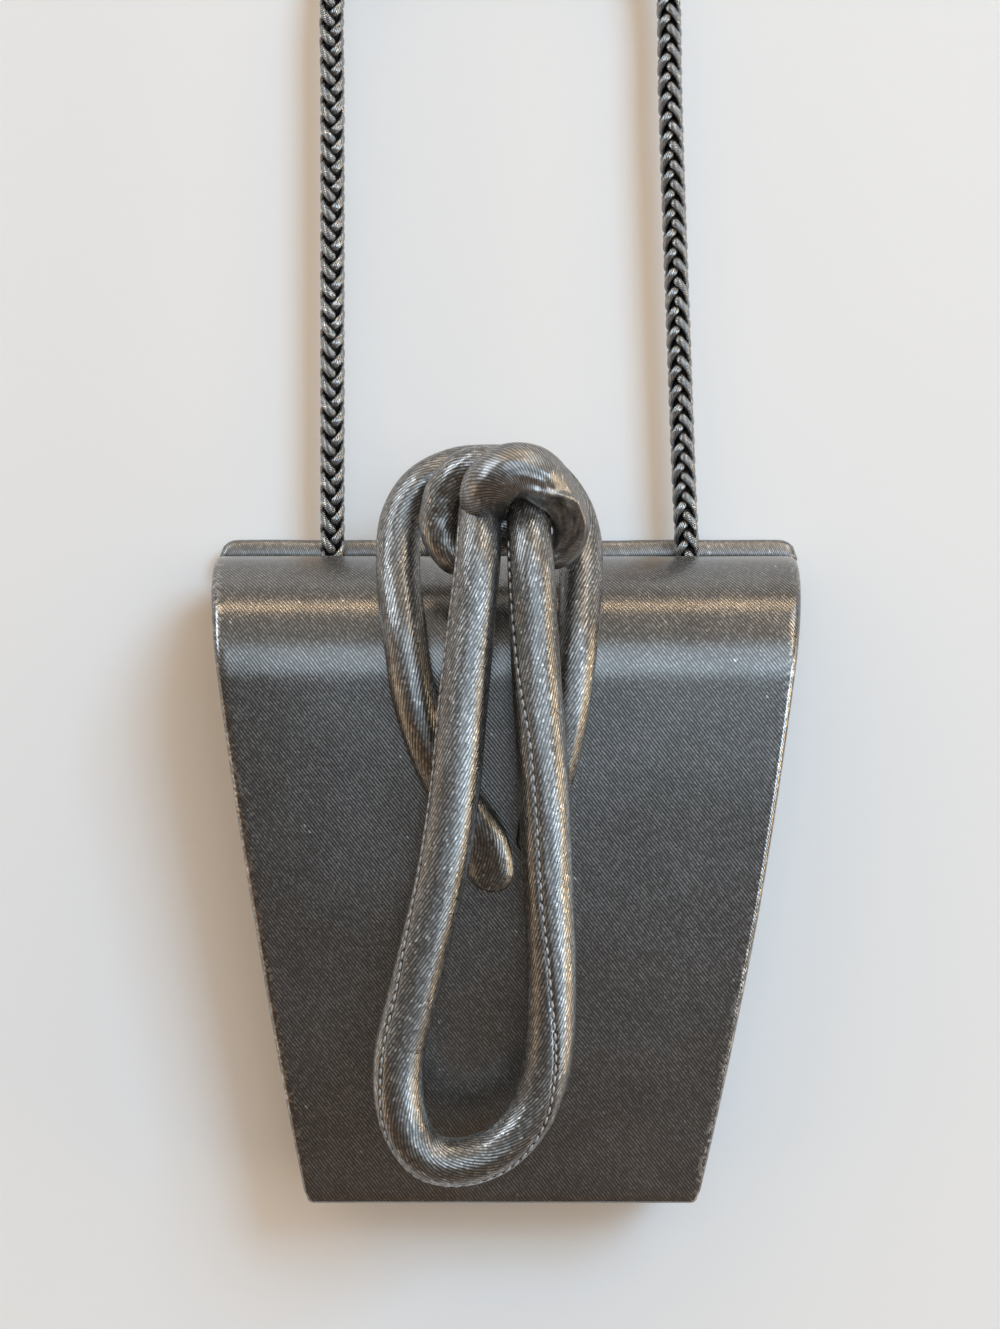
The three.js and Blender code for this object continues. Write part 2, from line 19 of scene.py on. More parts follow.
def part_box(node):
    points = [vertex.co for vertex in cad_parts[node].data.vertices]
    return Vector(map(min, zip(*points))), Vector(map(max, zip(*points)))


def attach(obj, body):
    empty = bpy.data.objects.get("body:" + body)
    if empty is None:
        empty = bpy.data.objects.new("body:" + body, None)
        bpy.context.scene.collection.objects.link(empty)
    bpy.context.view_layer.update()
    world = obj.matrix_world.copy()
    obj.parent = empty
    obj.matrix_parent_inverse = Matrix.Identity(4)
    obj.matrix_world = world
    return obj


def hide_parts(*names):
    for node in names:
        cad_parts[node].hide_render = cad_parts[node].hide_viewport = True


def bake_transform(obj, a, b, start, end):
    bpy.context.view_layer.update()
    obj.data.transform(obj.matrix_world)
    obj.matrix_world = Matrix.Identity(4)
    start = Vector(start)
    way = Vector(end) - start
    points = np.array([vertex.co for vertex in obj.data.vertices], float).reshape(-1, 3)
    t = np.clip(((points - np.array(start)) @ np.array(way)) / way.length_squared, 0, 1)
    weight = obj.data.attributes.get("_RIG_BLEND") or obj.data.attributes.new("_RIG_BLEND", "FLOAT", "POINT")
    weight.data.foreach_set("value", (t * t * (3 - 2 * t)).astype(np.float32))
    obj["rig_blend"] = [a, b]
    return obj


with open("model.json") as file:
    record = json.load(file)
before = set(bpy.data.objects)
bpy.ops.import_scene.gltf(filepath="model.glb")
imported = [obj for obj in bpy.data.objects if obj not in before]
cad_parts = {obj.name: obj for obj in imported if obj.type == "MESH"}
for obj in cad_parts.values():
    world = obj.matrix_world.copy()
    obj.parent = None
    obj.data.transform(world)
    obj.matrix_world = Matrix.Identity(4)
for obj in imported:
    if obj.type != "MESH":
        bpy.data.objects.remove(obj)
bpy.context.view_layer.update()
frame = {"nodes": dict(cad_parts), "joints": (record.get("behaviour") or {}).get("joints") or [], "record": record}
joints = {joint["name"]: joint for joint in frame["joints"]}
mounts = {mount["name"]: mount for mount in frame["record"]["mounts"]}
MM = 0.001
BASE = mounts["base_rest"]["pos_m"][2]
HINGE = Vector(joints["flap_hinge"]["pos_m"])
SWING = Vector(joints["hand_loop_swing"]["pos_m"])
HEIGHT = round((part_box("flap_cover")[1].z - BASE) / MM, 1)
TOWARDS_FRONT = Vector((0, -1, 0))


def at(x, y, z):
    """A point of the bag, in millimetres, in the frame: y counts from the hinge, z from the base."""
    return Vector((x * MM, HINGE.y + y * MM, BASE + z * MM))


print(f"The bag is {HEIGHT} mm tall, with {len(frame['nodes'])} pieces and {len(joints)} joints")

# %% [markdown]
# ## Camera
# The photograph looks straight at the front from about half a metre. The focal length in pixels comes
# from how fast the cord and the hand loop shrink with depth, so the lens is that share of the sensor.

# %% Camera
PHOTO_LONG_SIDE = 1329
FOCAL_PIXELS = 2250
SENSOR = 36
CAMERA_PLACE = Vector((-1.35, -532.6, -196.7)) * MM

camera_data = bpy.data.cameras.new("camera")
camera_data.sensor_width = SENSOR
camera_data.lens = SENSOR * FOCAL_PIXELS / PHOTO_LONG_SIDE
camera = bpy.data.objects.new("camera", camera_data)
camera.location = CAMERA_PLACE
camera.rotation_euler = (math.pi / 2, 0, 0)
bpy.context.scene.collection.objects.link(camera)
bpy.context.scene.camera = camera
print(f"Lens {camera_data.lens:.1f} mm")

# %% [markdown]
# ## Finishes
# A finish is a small graph of nodes that ends in one principled shader. A picture of the cloth would
# be the other way, but it has one scale and one light baked in. These helpers keep each graph short.


# %% Node helper
def node(tree, kind, inputs=None, **settings):
    """A node with its settings; an input is a number, a colour or another node's socket."""
    made = tree.nodes.new("ShaderNode" + kind)
    for name, value in settings.items():
        setattr(made, name, value)
    for key, value in (inputs or {}).items():
        if isinstance(value, bpy.types.NodeSocket):
            tree.links.new(value, made.inputs[key])
        else:
            made.inputs[key].default_value = value
    return made


def new_material(name):
    material = bpy.data.materials.new(name)
    material.use_nodes = True
    tree = material.node_tree
    tree.nodes.clear()
    return material, tree


def finish_material(tree, shader_inputs):
    shader = node(tree, "BsdfPrincipled", shader_inputs)
    node(tree, "OutputMaterial", {"Surface": shader.outputs["BSDF"]})


def ramp(tree, source, low, high):
    """Zero below low, one above high, and straight between."""
    inputs = {"Value": source, "From Min": low, "From Max": high}
    return node(tree, "MapRange", inputs).outputs["Result"]


def blend_colour(tree, share, first, second, mode="MIX"):
    mixed = node(tree, "Mix", {"Factor": share}, data_type="RGBA", blend_type=mode)
    for slot_name, value in ((6, first), (7, second)):
        if isinstance(value, bpy.types.NodeSocket):
            tree.links.new(value, mixed.inputs[slot_name])
        else:
            mixed.inputs[slot_name].default_value = (*value, 1)
    return mixed.outputs[2]


def spread(tree, source, low, high):
    """A share from 0 to 1, spread from low to high."""
    inputs = {"Value": source, "To Min": low, "To Max": high}
    return node(tree, "MapRange", inputs).outputs["Result"]


def raised(tree, height, strength, distance):
    """The normal of a surface with a fine relief."""
    inputs = {"Strength": strength, "Distance": distance, "Height": height}
    return node(tree, "Bump", inputs).outputs["Normal"]


def paint_crease_shade(tree, colour):
    """A colour with painted shade: darker where the piece is drawn in, as a dent or groove lies in shadow."""
    creases = node(tree, "Attribute", attribute_name="painted_crease_shade").outputs["Fac"]
    return blend_colour(tree, creases, colour, CREASE_SHADE_COLOUR)


def maths(tree, operation, first, second):
    return node(tree, "Math", {0: first, 1: second}, operation=operation).outputs["Value"]


print("Node helpers ready")

# %% [markdown]
# ## Satin
# Satin of this kind is woven from a dark warp and a bright metallic weft. Seen close it has fine
# diagonal ribs with single threads that glint, and those glints are painted as rare near-white floats.
# The ribs follow the cloth, so the pattern reads each piece's own map, which counts millimetres of
# fabric. Broader gloss is left to the shader and the lamps, since a painted highlight there would slide
# in other views. Edges that rub show paler, worn threads, and dents are painted darker as shade.

# %% Satin
WAVE_PERIOD = math.pi / 10  # a wave texture repeats at this distance when its scale is 1
RIB_PITCH = 0.66
RIB_LEAN = math.radians(38)
TUBE_LEAN = math.radians(-68)
WRAP_LEAN = math.radians(-30)
FLOAT_LENGTH = 0.65  # of one thread along a rib
FINE_PITCH = 0.42
FLAT_WARP = (0.125, 0.123, 0.121)
TUBE_WARP = (0.13, 0.128, 0.125)
WRAP_WARP = (0.14, 0.139, 0.138)
FLAT_WEFT = (0.40, 0.396, 0.391)
# The tubes' weft is brighter than the flap's: partly the bias-cut cloth, partly painted light for what round tubes
# catch.
TUBE_WEFT_BIAS_AND_PAINTED_LIGHT = (0.59, 0.582, 0.572)
WRAP_WEFT = (0.52, 0.515, 0.51)
GLINT = (0.8, 0.8, 0.79)
WORN_THREAD = (0.50, 0.48, 0.455)
# painted shade: the colour that dents and grooves are darkened towards
CREASE_SHADE_COLOUR = (0.012, 0.011, 0.010)
RIB_WANDER = 1.4
PATCH_SCALE = 0.06  # of slow changes in the shade of the cloth
PATCH_SHADES = ((0.9, 0.89, 0.88), (1.1, 1.1, 1.1))
WEAR_STRETCH = 0.8
WEAR_SCALE = 0.07
WEAR_RANGE = (0.38, 0.6)
WORN_FLOATS = (0.45, 0.8)  # which floats of thread the wear takes
FLOAT_CONTRAST = 1.7
GLOSS_SPREAD = 0.05  # between one float of thread and another
FLOAT_RISE = 0.15  # of single floats, beside the ribs


def cloth_lines(tree, pitch, lean, distortion):
    """Ribs of woven cloth, a pitch apart, leaning from the length of the fabric."""
    fabric = node(tree, "UVMap", uv_map="UVMap").outputs["UV"]
    turned = node(tree, "Mapping", {"Vector": fabric, "Rotation": (0, 0, lean)}).outputs["Vector"]
    inputs = {
        "Vector": turned, "Scale": WAVE_PERIOD / pitch, "Distortion": distortion,
        "Detail": 2.0, "Detail Scale": 0.6,
    }
    lines = node(tree, "TexWave", inputs, wave_type="BANDS", bands_direction="X").outputs["Fac"]
    return turned, lines


def thread_noise(tree, vector, stretch, scale):
    """Noise drawn out along the threads."""
    drawn = node(tree, "Mapping", {"Vector": vector, "Scale": (1, stretch, 1)}).outputs["Vector"]
    inputs = {"Vector": drawn, "Scale": scale, "Detail": 3.0, "Roughness": 0.6}
    return node(tree, "TexNoise", inputs).outputs["Fac"]


def thread_ends(tree, turned, pitch):
    """A chance number for each short float of thread on a rib."""
    size = (1 / pitch, 1 / FLOAT_LENGTH, 1)
    cells = node(tree, "Mapping", {"Vector": turned, "Scale": size}).outputs["Vector"]
    inputs = {"Vector": cells, "Scale": 1.0, "Randomness": 0.75}
    chance = node(tree, "TexVoronoi", inputs, voronoi_dimensions="2D").outputs["Color"]
    return node(tree, "SeparateColor", {"Color": chance}).outputs["Red"]


def satin(name, pitch, warp, weft, lean, dullest, glinting, depth, gloss):
    """Woven satin. The dullest float of thread shows that share of the brightest one, and a share of floats,
    glinting, is painted near-white as glints.
    """
    material, tree = new_material(name)
    turned, ribs = cloth_lines(tree, pitch, lean, RIB_WANDER)
    chance = thread_ends(tree, turned, pitch)
    patches = thread_noise(tree, turned, 1.0, PATCH_SCALE)
    rubbed = thread_noise(tree, turned, WEAR_STRETCH, WEAR_SCALE)
    worn = node(tree, "Attribute", attribute_name="worn").outputs["Fac"]
    worn = maths(tree, "MULTIPLY", worn, ramp(tree, rubbed, *WEAR_RANGE))
    worn = maths(tree, "MULTIPLY", worn, ramp(tree, chance, *WORN_FLOATS))
    brightness = spread(tree, maths(tree, "POWER", chance, FLOAT_CONTRAST), dullest, 1.0)
    weave = maths(tree, "MULTIPLY", ribs, brightness)
    colour = blend_colour(tree, weave, warp, weft)
    shaded = blend_colour(tree, ramp(tree, patches, 0.3, 0.7), *PATCH_SHADES)
    colour = blend_colour(tree, 1.0, colour, shaded, "MULTIPLY")
    # painted glints: a few floats of thread are drawn near-white
    glints = maths(tree, "MULTIPLY", ramp(tree, chance, 1 - 2 * glinting, 1.0), ribs)
    colour = blend_colour(tree, glints, colour, GLINT)
    # worn threads are real wear; the darkening in dents is painted shade
    colour = paint_crease_shade(tree, blend_colour(tree, worn, colour, WORN_THREAD))
    roughness = spread(tree, chance, gloss, gloss + GLOSS_SPREAD)
    relief = maths(tree, "ADD", ribs, maths(tree, "MULTIPLY", chance, FLOAT_RISE))
    finish_material(tree, {
        "Base Color": colour, "Metallic": 0.9, "Roughness": roughness,
        "Normal": raised(tree, relief, 0.5, depth),
    })
    return material


satin_flat = satin("satin_flat", RIB_PITCH, FLAT_WARP, FLAT_WEFT, RIB_LEAN, 0.45, 0.0004, 0.00002, 0.21)
# The tube satin is a brighter copy of the flap's satin, partly painted light.
satin_tube = satin("satin_tube", RIB_PITCH, TUBE_WARP, TUBE_WEFT_BIAS_AND_PAINTED_LIGHT, TUBE_LEAN, 0.2, 0.02, 0.00006, 0.27)
satin_wrap = satin("satin_wrap", FINE_PITCH, WRAP_WARP, WRAP_WEFT, WRAP_LEAN, 0.4, 0.004, 0.00003, 0.31)
print(f"Satin ribs every {RIB_PITCH} mm")

# %% [markdown]
# ## Braid, lining, board and snap metal
# The strands of the braid and the seam's thread are twisted yarn, so their lines lean across them. The
# lining is a dull plain weave, the boards are pressed fibre, and the snap is nickel on pressed steel.
# Cloth reads its own map again. The hard pieces have none, so they read the place in the object.

# %% Braid, lining, board and snap metal
THREAD_PITCH = 0.36
THREAD_LEAN = math.radians(62)
DARK_STRAND = (0.06, 0.063, 0.067)
PALE_STRAND = (0.56, 0.575, 0.59)
BRIGHT_STRAND = (0.93, 0.94, 0.95)
SEAM_THREAD_PITCH = 0.3
SEAM_THREAD_LEAN = math.radians(60)
FINE_RELIEF = 0.0001  # metres
LINING_PITCH = 0.5
LINING_DARK = (0.055, 0.055, 0.06)
LINING_PALE = (0.2, 0.2, 0.21)

braid_thread, tree = new_material("braid_thread")
turned, threads = cloth_lines(tree, THREAD_PITCH, THREAD_LEAN, 0.8)
slubs = thread_noise(tree, turned, 0.2, 1.2)
colour = blend_colour(tree, threads, DARK_STRAND, PALE_STRAND)
# slubs are brighter yarn; dents where strands dive are painted darker as shade
colour = paint_crease_shade(tree, blend_colour(tree, ramp(tree, slubs, 0.58, 0.78), colour, BRIGHT_STRAND))
finish_material(tree, {
    "Base Color": colour, "Metallic": 0.85, "Roughness": 0.2,
    "Normal": raised(tree, threads, 0.5, FINE_RELIEF),
})

seam_thread, tree = new_material("seam_thread")
_, threads = cloth_lines(tree, SEAM_THREAD_PITCH, SEAM_THREAD_LEAN, 0.5)
colour = blend_colour(tree, threads, (0.42, 0.42, 0.43), (0.88, 0.88, 0.89))
finish_material(tree, {"Base Color": colour, "Metallic": 0.3, "Roughness": 0.4})

lining_cloth, tree = new_material("lining_cloth")
turned, threads = cloth_lines(tree, LINING_PITCH, 0, 0.3)
slubs = thread_noise(tree, turned, 0.15, 1.4)
weave = maths(tree, "MULTIPLY", threads, slubs)
colour = blend_colour(tree, weave, LINING_DARK, LINING_PALE)
finish_material(tree, {
    "Base Color": colour, "Roughness": 0.8, "Sheen Weight": 0.2,
    "Normal": raised(tree, threads, 0.35, FINE_RELIEF),
})

fibre_board, tree = new_material("fibre_board")
place = node(tree, "TexCoord").outputs["Object"]
fibres = node(tree, "TexNoise", {"Vector": place, "Scale": 900.0, "Detail": 6.0}).outputs["Fac"]
colour = blend_colour(tree, ramp(tree, fibres, 0.35, 0.7), (0.36, 0.29, 0.2), (0.6, 0.52, 0.4))
relief = raised(tree, fibres, 0.3, FINE_RELIEF)
finish_material(tree, {"Base Color": colour, "Roughness": 0.9, "Normal": relief})

nickel_snap, tree = new_material("nickel_snap")
place = node(tree, "TexCoord").outputs["Object"]
drawn = node(tree, "Mapping", {"Vector": place, "Scale": (1, 1, 12)}).outputs["Vector"]
brushed = node(tree, "TexNoise", {"Vector": drawn, "Scale": 1500.0, "Detail": 4.0}).outputs["Fac"]
colour = blend_colour(tree, brushed, (0.55, 0.55, 0.56), (0.78, 0.78, 0.79))
roughness = spread(tree, brushed, 0.18, 0.34)
finish_material(tree, {"Base Color": colour, "Metallic": 1.0, "Roughness": roughness})
print("Braid, lining, board and snap finishes made")

# %% [markdown]
# ## Smooth lines and rolled cloth
# A stuffed tube is a strip of cloth rolled round a line. So a flat grid keeps the map of the cloth,
# its points are carried round the line, and the two long edges are merged. Where the radius runs to
# nothing the end closes in a pole. A curve with a bevel would be quicker, but it can't flatten, pinch
# or carry a seam.


# %% Smooth lines and rolled cloth
LINE_STEPS = 12
WELD = 1e-7
FULL_SHADE_DENT = 0.08  # share of the radius at which a dent is painted darkest, as shade
# painted shade begins only past this share of that dent
SHADE_START = 0.4


def through(points, count):
    """Even stations on a smooth line through the points."""
    knots = [Vector(point) for point in points]
    ends = [2 * knots[0] - knots[1], *knots, 2 * knots[-1] - knots[-2]]
    fine = []
    for before, first, second, after in zip(ends, ends[1:], ends[2:], ends[3:]):
        lead, span, tail = (math.sqrt((q - p).length) for p, q in (
            (before, first), (first, second), (second, after)))
        step = second - first
        leave = step + span * ((first - before) / lead - (second - before) / (lead + span))
        arrive = step + span * ((after - second) / tail - (after - first) / (span + tail))
        fine += interpolate_bezier(first, first + leave / 3, second - arrive / 3, second, LINE_STEPS)[:-1]
    line = np.array([*fine, knots[-1]])
    run = np.concatenate([[0], np.cumsum(np.linalg.norm(np.diff(line, axis=0), axis=1))])
    marks = np.linspace(0, run[-1], count)
    return [Vector(p) for p in np.stack([np.interp(marks, run, line[:, k]) for k in range(3)], axis=1)]


def line_length(line):
    return sum((q - p).length for p, q in zip(line, line[1:]))


def along(values, count):
    """Values spread evenly over a line, read smoothly at each station."""
    shares = np.linspace(0, 1, count)
    return np.interp(shares, np.linspace(0, 1, len(values)), values)


def axes(line, fronts=None):
    """At each station: the way forward, the front and the side."""
    found = []
    for i, front in enumerate(fronts or [TOWARDS_FRONT] * len(line)):
        ahead = (line[min(i + 1, len(line) - 1)] - line[max(i - 1, 0)]).normalized()
        front = (front - ahead * front.dot(ahead)).normalized()
        found.append((ahead, front, ahead.cross(front)))
    return found


def cloth_map(bm):
    """The map of the flat cloth, in millimetres."""
    layers = bm.loops.layers.uv
    return layers.get("UVMap") or layers.new("UVMap")


def roll(bm, line, widths, depths, sides, fronts=None, dent=None):
    """Roll a grid round a line. dent(share, angle) shortens the radius where the cloth is drawn in, and paints it
    darker there as shade.
    """
    last = len(line) - 1
    frames = axes(line, fronts)
    length = line_length(line) / MM
    girth = math.pi * float(np.mean(widths) + np.mean(depths)) / MM
    cloth = cloth_map(bm)
    floats = bm.verts.layers.float
    painted_crease_shade = floats.get("painted_crease_shade") or floats.new("painted_crease_shade")
    grid = bmesh.ops.create_grid(bm, x_segments=last, y_segments=sides, size=1)["verts"]
    for face in {face for vert in grid for face in vert.link_faces}:
        for loop in face.loops:
            flat = loop.vert.co
            loop[cloth].uv = ((flat.x + 1) / 2 * length, (flat.y + 1) / 2 * girth)
    for vert in grid:
        station = round((vert.co.x + 1) / 2 * last)
        angle = math.pi * (vert.co.y + 1)
        _, front, side = frames[station]
        reach = 1 - (dent(station / last, angle) if dent else 0)
        # painted shade: the deeper a dent, the darker the cloth is painted there
        vert[painted_crease_shade] = min(1, max(0, (1 - reach) / FULL_SHADE_DENT - SHADE_START))
        across = side * math.sin(angle) * widths[station] - front * math.cos(angle) * depths[station]
        vert.co = line[station] + across * reach
    bmesh.ops.remove_doubles(bm, verts=grid, dist=WELD)


def round_ends(radii, length):
    """Radii that run to nothing in a round at both ends of a line."""
    last = len(radii) - 1
    shaped = np.array(radii, float)
    for i in range(last + 1):
        for gone in (i, last - i):
            reach = gone / last * length / radii[i]
            if reach < 1:
                shaped[i] = radii[i] * math.sqrt(max(0, 1 - (1 - reach) ** 2))
    return shaped


def make_piece(bm, name, material, body=None, nodes=(), thickness=0):
    """Turn a bmesh into a finished piece that rides on a body and stands for its CAD nodes.

    A sheet of cloth is given a thickness, which goes to the inside.
    """
    if not thickness:
        bmesh.ops.recalc_face_normals(bm, faces=bm.faces)
    for face in bm.faces:
        face.smooth = True
    mesh = bpy.data.meshes.new(name)
    bm.to_mesh(mesh)
    bm.free()
    mesh.materials.append(material)
    piece = bpy.data.objects.new(name, mesh)
    bpy.context.scene.collection.objects.link(piece)
    if thickness:
        solid = piece.modifiers.new("thickness", "SOLIDIFY")
        solid.thickness = thickness * MM
        solid.offset = -1
    if nodes:
        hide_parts(*nodes)
    if body:
        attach(piece, body)
    print(f"{name}: {len(mesh.polygons)} faces")
    return piece


print("Rolled cloth ready")

# %% [markdown]
# ## Shoulder cord
# The cord is a round braid of eight strands: four climb to the left and four to the right, and each
# passes over two and under two. That gives columns of long floats that lean one way and then the
# other, a row of small vees. Each strand is a thin roll of cloth round its own path, which swings out
# where the strand lies on top and in where it dives. The ends of the cord go into the sewn sleeves
# inside the bag, and its taut arch closes just above the picture.

# %% Shoulder cord
CORD_DIAMETER = 6.3
CORD_Y = 5.6
LEFT_EXIT = (-41, -2.8)
RIGHT_EXIT = (43, -2.8)
CORD_END = -24.2
CORD_ROUTE = [
    (-41, 20), (-41, 50), (-41, 80), (-41, 110), (-40.9, 134), (-38.3, 149), (-29, 162.7), (-15.4, 171.2),
    (0, 174), (14.2, 171.2), (27, 162.7), (35.7, 149), (38.3, 134), (38.9, 110), (39.9, 80), (41, 50),
    (42.1, 20),
]
MEASURE_STATIONS = 400
STRANDS_EACH_WAY = 4
STITCH = 4.6  # height from one float to the next in its column
HALF_TURN_STEPS = 20  # stations over half a turn of a strand
BRAID_TURN = math.radians(10)  # how far right of the front two columns of floats meet
STRAND_SIDES = 8
STRAND_WIDTH = 0.98
STRAND_DEPTH = 0.62
SWING_OUT = 0.6  # how far a strand rises and dives
FLOAT_SHAPE = 0.45  # below 1 a float lies flat for longer before it dives
DIVE_DENT = 0.13  # a strand is drawn thinner, and painted darker as shade, where it dives
DIVE_START = 0.75  # height of the float, 1 at its crown, from which it thins

cord_points = [(LEFT_EXIT[0], CORD_END), LEFT_EXIT, *CORD_ROUTE, RIGHT_EXIT, (RIGHT_EXIT[0], CORD_END)]
cord_points = [at(x, CORD_Y, HEIGHT + up) for x, up in cord_points]
cord_length = line_length(through(cord_points, MEASURE_STATIONS))
periods = round(cord_length / MM / (2 * STITCH))
cord_line = through(cord_points, periods * HALF_TURN_STEPS + 1)
cord_frames = axes(cord_line)


def strand(bm, number, way):
    """One strand of the braid, climbing to the left (-1) or to the right (1)."""
    crossing = math.pi / STRANDS_EACH_WAY
    start = 2 * crossing * number + (0 if way > 0 else crossing)
    path = []
    outwards = []
    lifts = []
    for i, place in enumerate(cord_line):
        angle = start + way * math.pi * i / HALF_TURN_STEPS
        lift = math.sin(angle / (2 * crossing) * math.pi) * way
        lift = math.copysign(abs(lift) ** FLOAT_SHAPE, lift)
        _, front, side = cord_frames[i]
        facing = angle + BRAID_TURN
        outward = front * math.cos(facing) + side * math.sin(facing)
        middle = CORD_DIAMETER / 2 - STRAND_DEPTH - SWING_OUT
        path.append(place + outward * (middle + SWING_OUT * lift) * MM)
        outwards.append(outward)
        lifts.append(lift)
    widths = round_ends([STRAND_WIDTH * MM] * len(path), line_length(path))
    depths = round_ends([STRAND_DEPTH * MM] * len(path), line_length(path))

    # A diving strand is drawn in, and that dent paints it darker as the shade between strands.
    def drawn_in(share, angle):
        return DIVE_DENT * min(1, max(0, DIVE_START - lifts[round(share * (len(lifts) - 1))]))

    roll(bm, path, widths, depths, STRAND_SIDES, outwards, drawn_in)


cord_mesh = bmesh.new()
for number in range(STRANDS_EACH_WAY):
    strand(cord_mesh, number, 1)
    strand(cord_mesh, number, -1)
shoulder_cord = make_piece(cord_mesh, "shoulder_cord", braid_thread, "body", ["strap_cord"])
print(f"Cord {cord_length:.3f} m, {periods * 2} stitches long")

# %% [markdown]
# ## Room and light
# A pale wall stands just behind the bag, and it is clear from behind and to shadow rays, so the back of
# the bag can be seen and lit. The floor lies far below: pale to the camera, brown in what it gives back.
# Polished cloth shows the room it hangs in. A wide cool window in front, with a weaker one below it, a
# thin warm lamp overhead and a few strips that only reflections see give the bands on the shoulder and
# the edges of light on the tubes. One lamp lights matt things alone, chiefly the wall. The world is
# darker in reflections than in its soft fill, and plain pale to the camera.

# %% Room and light
WALL_Y = 16.5
FLOOR_DROP = 900
ROOM = 3.0
WALL_COLOUR = (0.86, 0.86, 0.86)
FLOOR_COLOUR = (0.40, 0.41, 0.43)
FLOOR_BOUNCE = (0.17, 0.13, 0.10)
BACKDROP = (0.74, 0.74, 0.74)
COOL = (0.66, 0.84, 1.0)
GOLD = (1.0, 0.74, 0.46)
LAMP_AIM = at(0, -20, HEIGHT * 0.65)


def stage_plane(name, corner_points, colour, seen, see_through):
    """A plane of the room, with one colour for the light it gives back and one for the camera."""
    bm = bmesh.new()
    bm.faces.new([bm.verts.new(point) for point in corner_points])
    mesh = bpy.data.meshes.new(name)
    bm.to_mesh(mesh)
    bm.free()
    plane = bpy.data.objects.new(name, mesh)
    bpy.context.scene.collection.objects.link(plane)
    material, tree = new_material(name)
    rays = node(tree, "LightPath").outputs
    shade = blend_colour(tree, rays["Is Camera Ray"], colour, seen)
    matt = node(tree, "BsdfDiffuse", {"Color": shade}).outputs["BSDF"]
    if see_through:
        behind = node(tree, "NewGeometry").outputs["Backfacing"]
        behind = maths(tree, "MAXIMUM", behind, rays["Is Shadow Ray"])
        clear = node(tree, "BsdfTransparent").outputs["BSDF"]
        matt = node(tree, "MixShader", {0: behind, 1: matt, 2: clear}).outputs["Shader"]
    node(tree, "OutputMaterial", {"Surface": matt})
    mesh.materials.append(material)


wall_y = HINGE.y + WALL_Y * MM
floor_z = BASE - FLOOR_DROP * MM
stage_plane("wall", [
    (-ROOM, wall_y, floor_z), (ROOM, wall_y, floor_z), (ROOM, wall_y, ROOM), (-ROOM, wall_y, ROOM),
], WALL_COLOUR, WALL_COLOUR, True)
stage_plane("floor", [
    (-ROOM, -ROOM, floor_z), (ROOM, -ROOM, floor_z), (ROOM, ROOM, floor_z), (-ROOM, ROOM, floor_z),
], FLOOR_BOUNCE, FLOOR_COLOUR, False)


def area_lamp(name, azimuth, elevation, distance, size, watts, colour, matt=True, shiny=True):
    """A soft lamp that looks at the bag: azimuth 0 is in front, and positive is to the right.

    A lamp can be left out of the light on matt things, or out of the reflections of shiny ones.
    """
    turn, lift = math.radians(azimuth), math.radians(elevation)
    way = Vector((math.sin(turn) * math.cos(lift), -math.cos(turn) * math.cos(lift), math.sin(lift)))
    data = bpy.data.lights.new(name, "AREA")
    data.shape = "RECTANGLE"
    data.size, data.size_y = size
    data.energy = watts
    data.color = colour
    lamp = bpy.data.objects.new(name, data)
    lamp.location = LAMP_AIM + way * distance
    lamp.rotation_euler = (-way).to_track_quat("-Z", "Y").to_euler()
    lamp.visible_diffuse = matt
    lamp.visible_glossy = shiny
    bpy.context.scene.collection.objects.link(lamp)


area_lamp("window", 11, 13, 3, (2.6, 1.4), 17, COOL)
area_lamp("window_low", 17, -3, 3, (2.1, 1.0), 6.0, COOL)
area_lamp("right_window", 54, -10, 3, (0.8, 1.2), 24, COOL, matt=False)
area_lamp("right_sky", 50, 48, 3, (1.4, 1.0), 8, COOL, matt=False)
area_lamp("wall_light", 31, 26, 3, (1.2, 1.0), 48, (0.38, 0.70, 1.0), shiny=False)
area_lamp("ceiling_lamp", 8, 68, 1.4, (1.8, 0.045), 2.8, GOLD)
area_lamp("gold_strip", 33, 36, 2, (0.12, 1.2), 5, GOLD, matt=False)
area_lamp("warm_side", 82, -6, 1.6, (0.2, 0.9), 6, (1.0, 0.74, 0.42))
area_lamp("left_window", -56, 32, 3, (0.5, 2.0), 24, (0.76, 0.89, 1.0), matt=False)
area_lamp("left_low", -84, -14, 2, (1.0, 1.0), 3.5, (1.0, 0.70, 0.42))
area_lamp("back_fill", 180, 12, 1.6, (1.5, 1.0), 13, (1.0, 1.0, 1.0))

world = bpy.data.worlds.new("room_light")
world.use_nodes = True
sky = world.node_tree
facing = node(sky, "SeparateXYZ", {"Vector": node(sky, "TexCoord").outputs["Generated"]}).outputs["Z"]
upward = ramp(sky, facing, -0.35, 0.5)
mirrored = blend_colour(sky, upward, (0.055, 0.048, 0.04), (0.50, 0.47, 0.43))
fill = blend_colour(sky, upward, (0.47, 0.31, 0.165), (0.80, 0.57, 0.355))
rays = node(sky, "LightPath").outputs
glow = blend_colour(sky, rays["Is Glossy Ray"], fill, mirrored)
glow = blend_colour(sky, rays["Is Camera Ray"], glow, BACKDROP)
sky.links.new(glow, sky.nodes["Background"].inputs["Color"])
bpy.context.scene.world = world
bpy.context.scene.view_settings.view_transform = "Standard"
print("Wall, floor, eleven lamps and a soft world")

# %% [markdown]
# ## Fabric over a board
# Each stiff panel is a board with satin drawn over it and turned in round its edges. The grid below is
# that piece of cloth laid flat. Its middle lies on the board's face, its borders turn half a circle
# round the edges, and a hem lies behind. A cube with a bevel has the outline, but no hem, no slack and
# no map of the cloth.

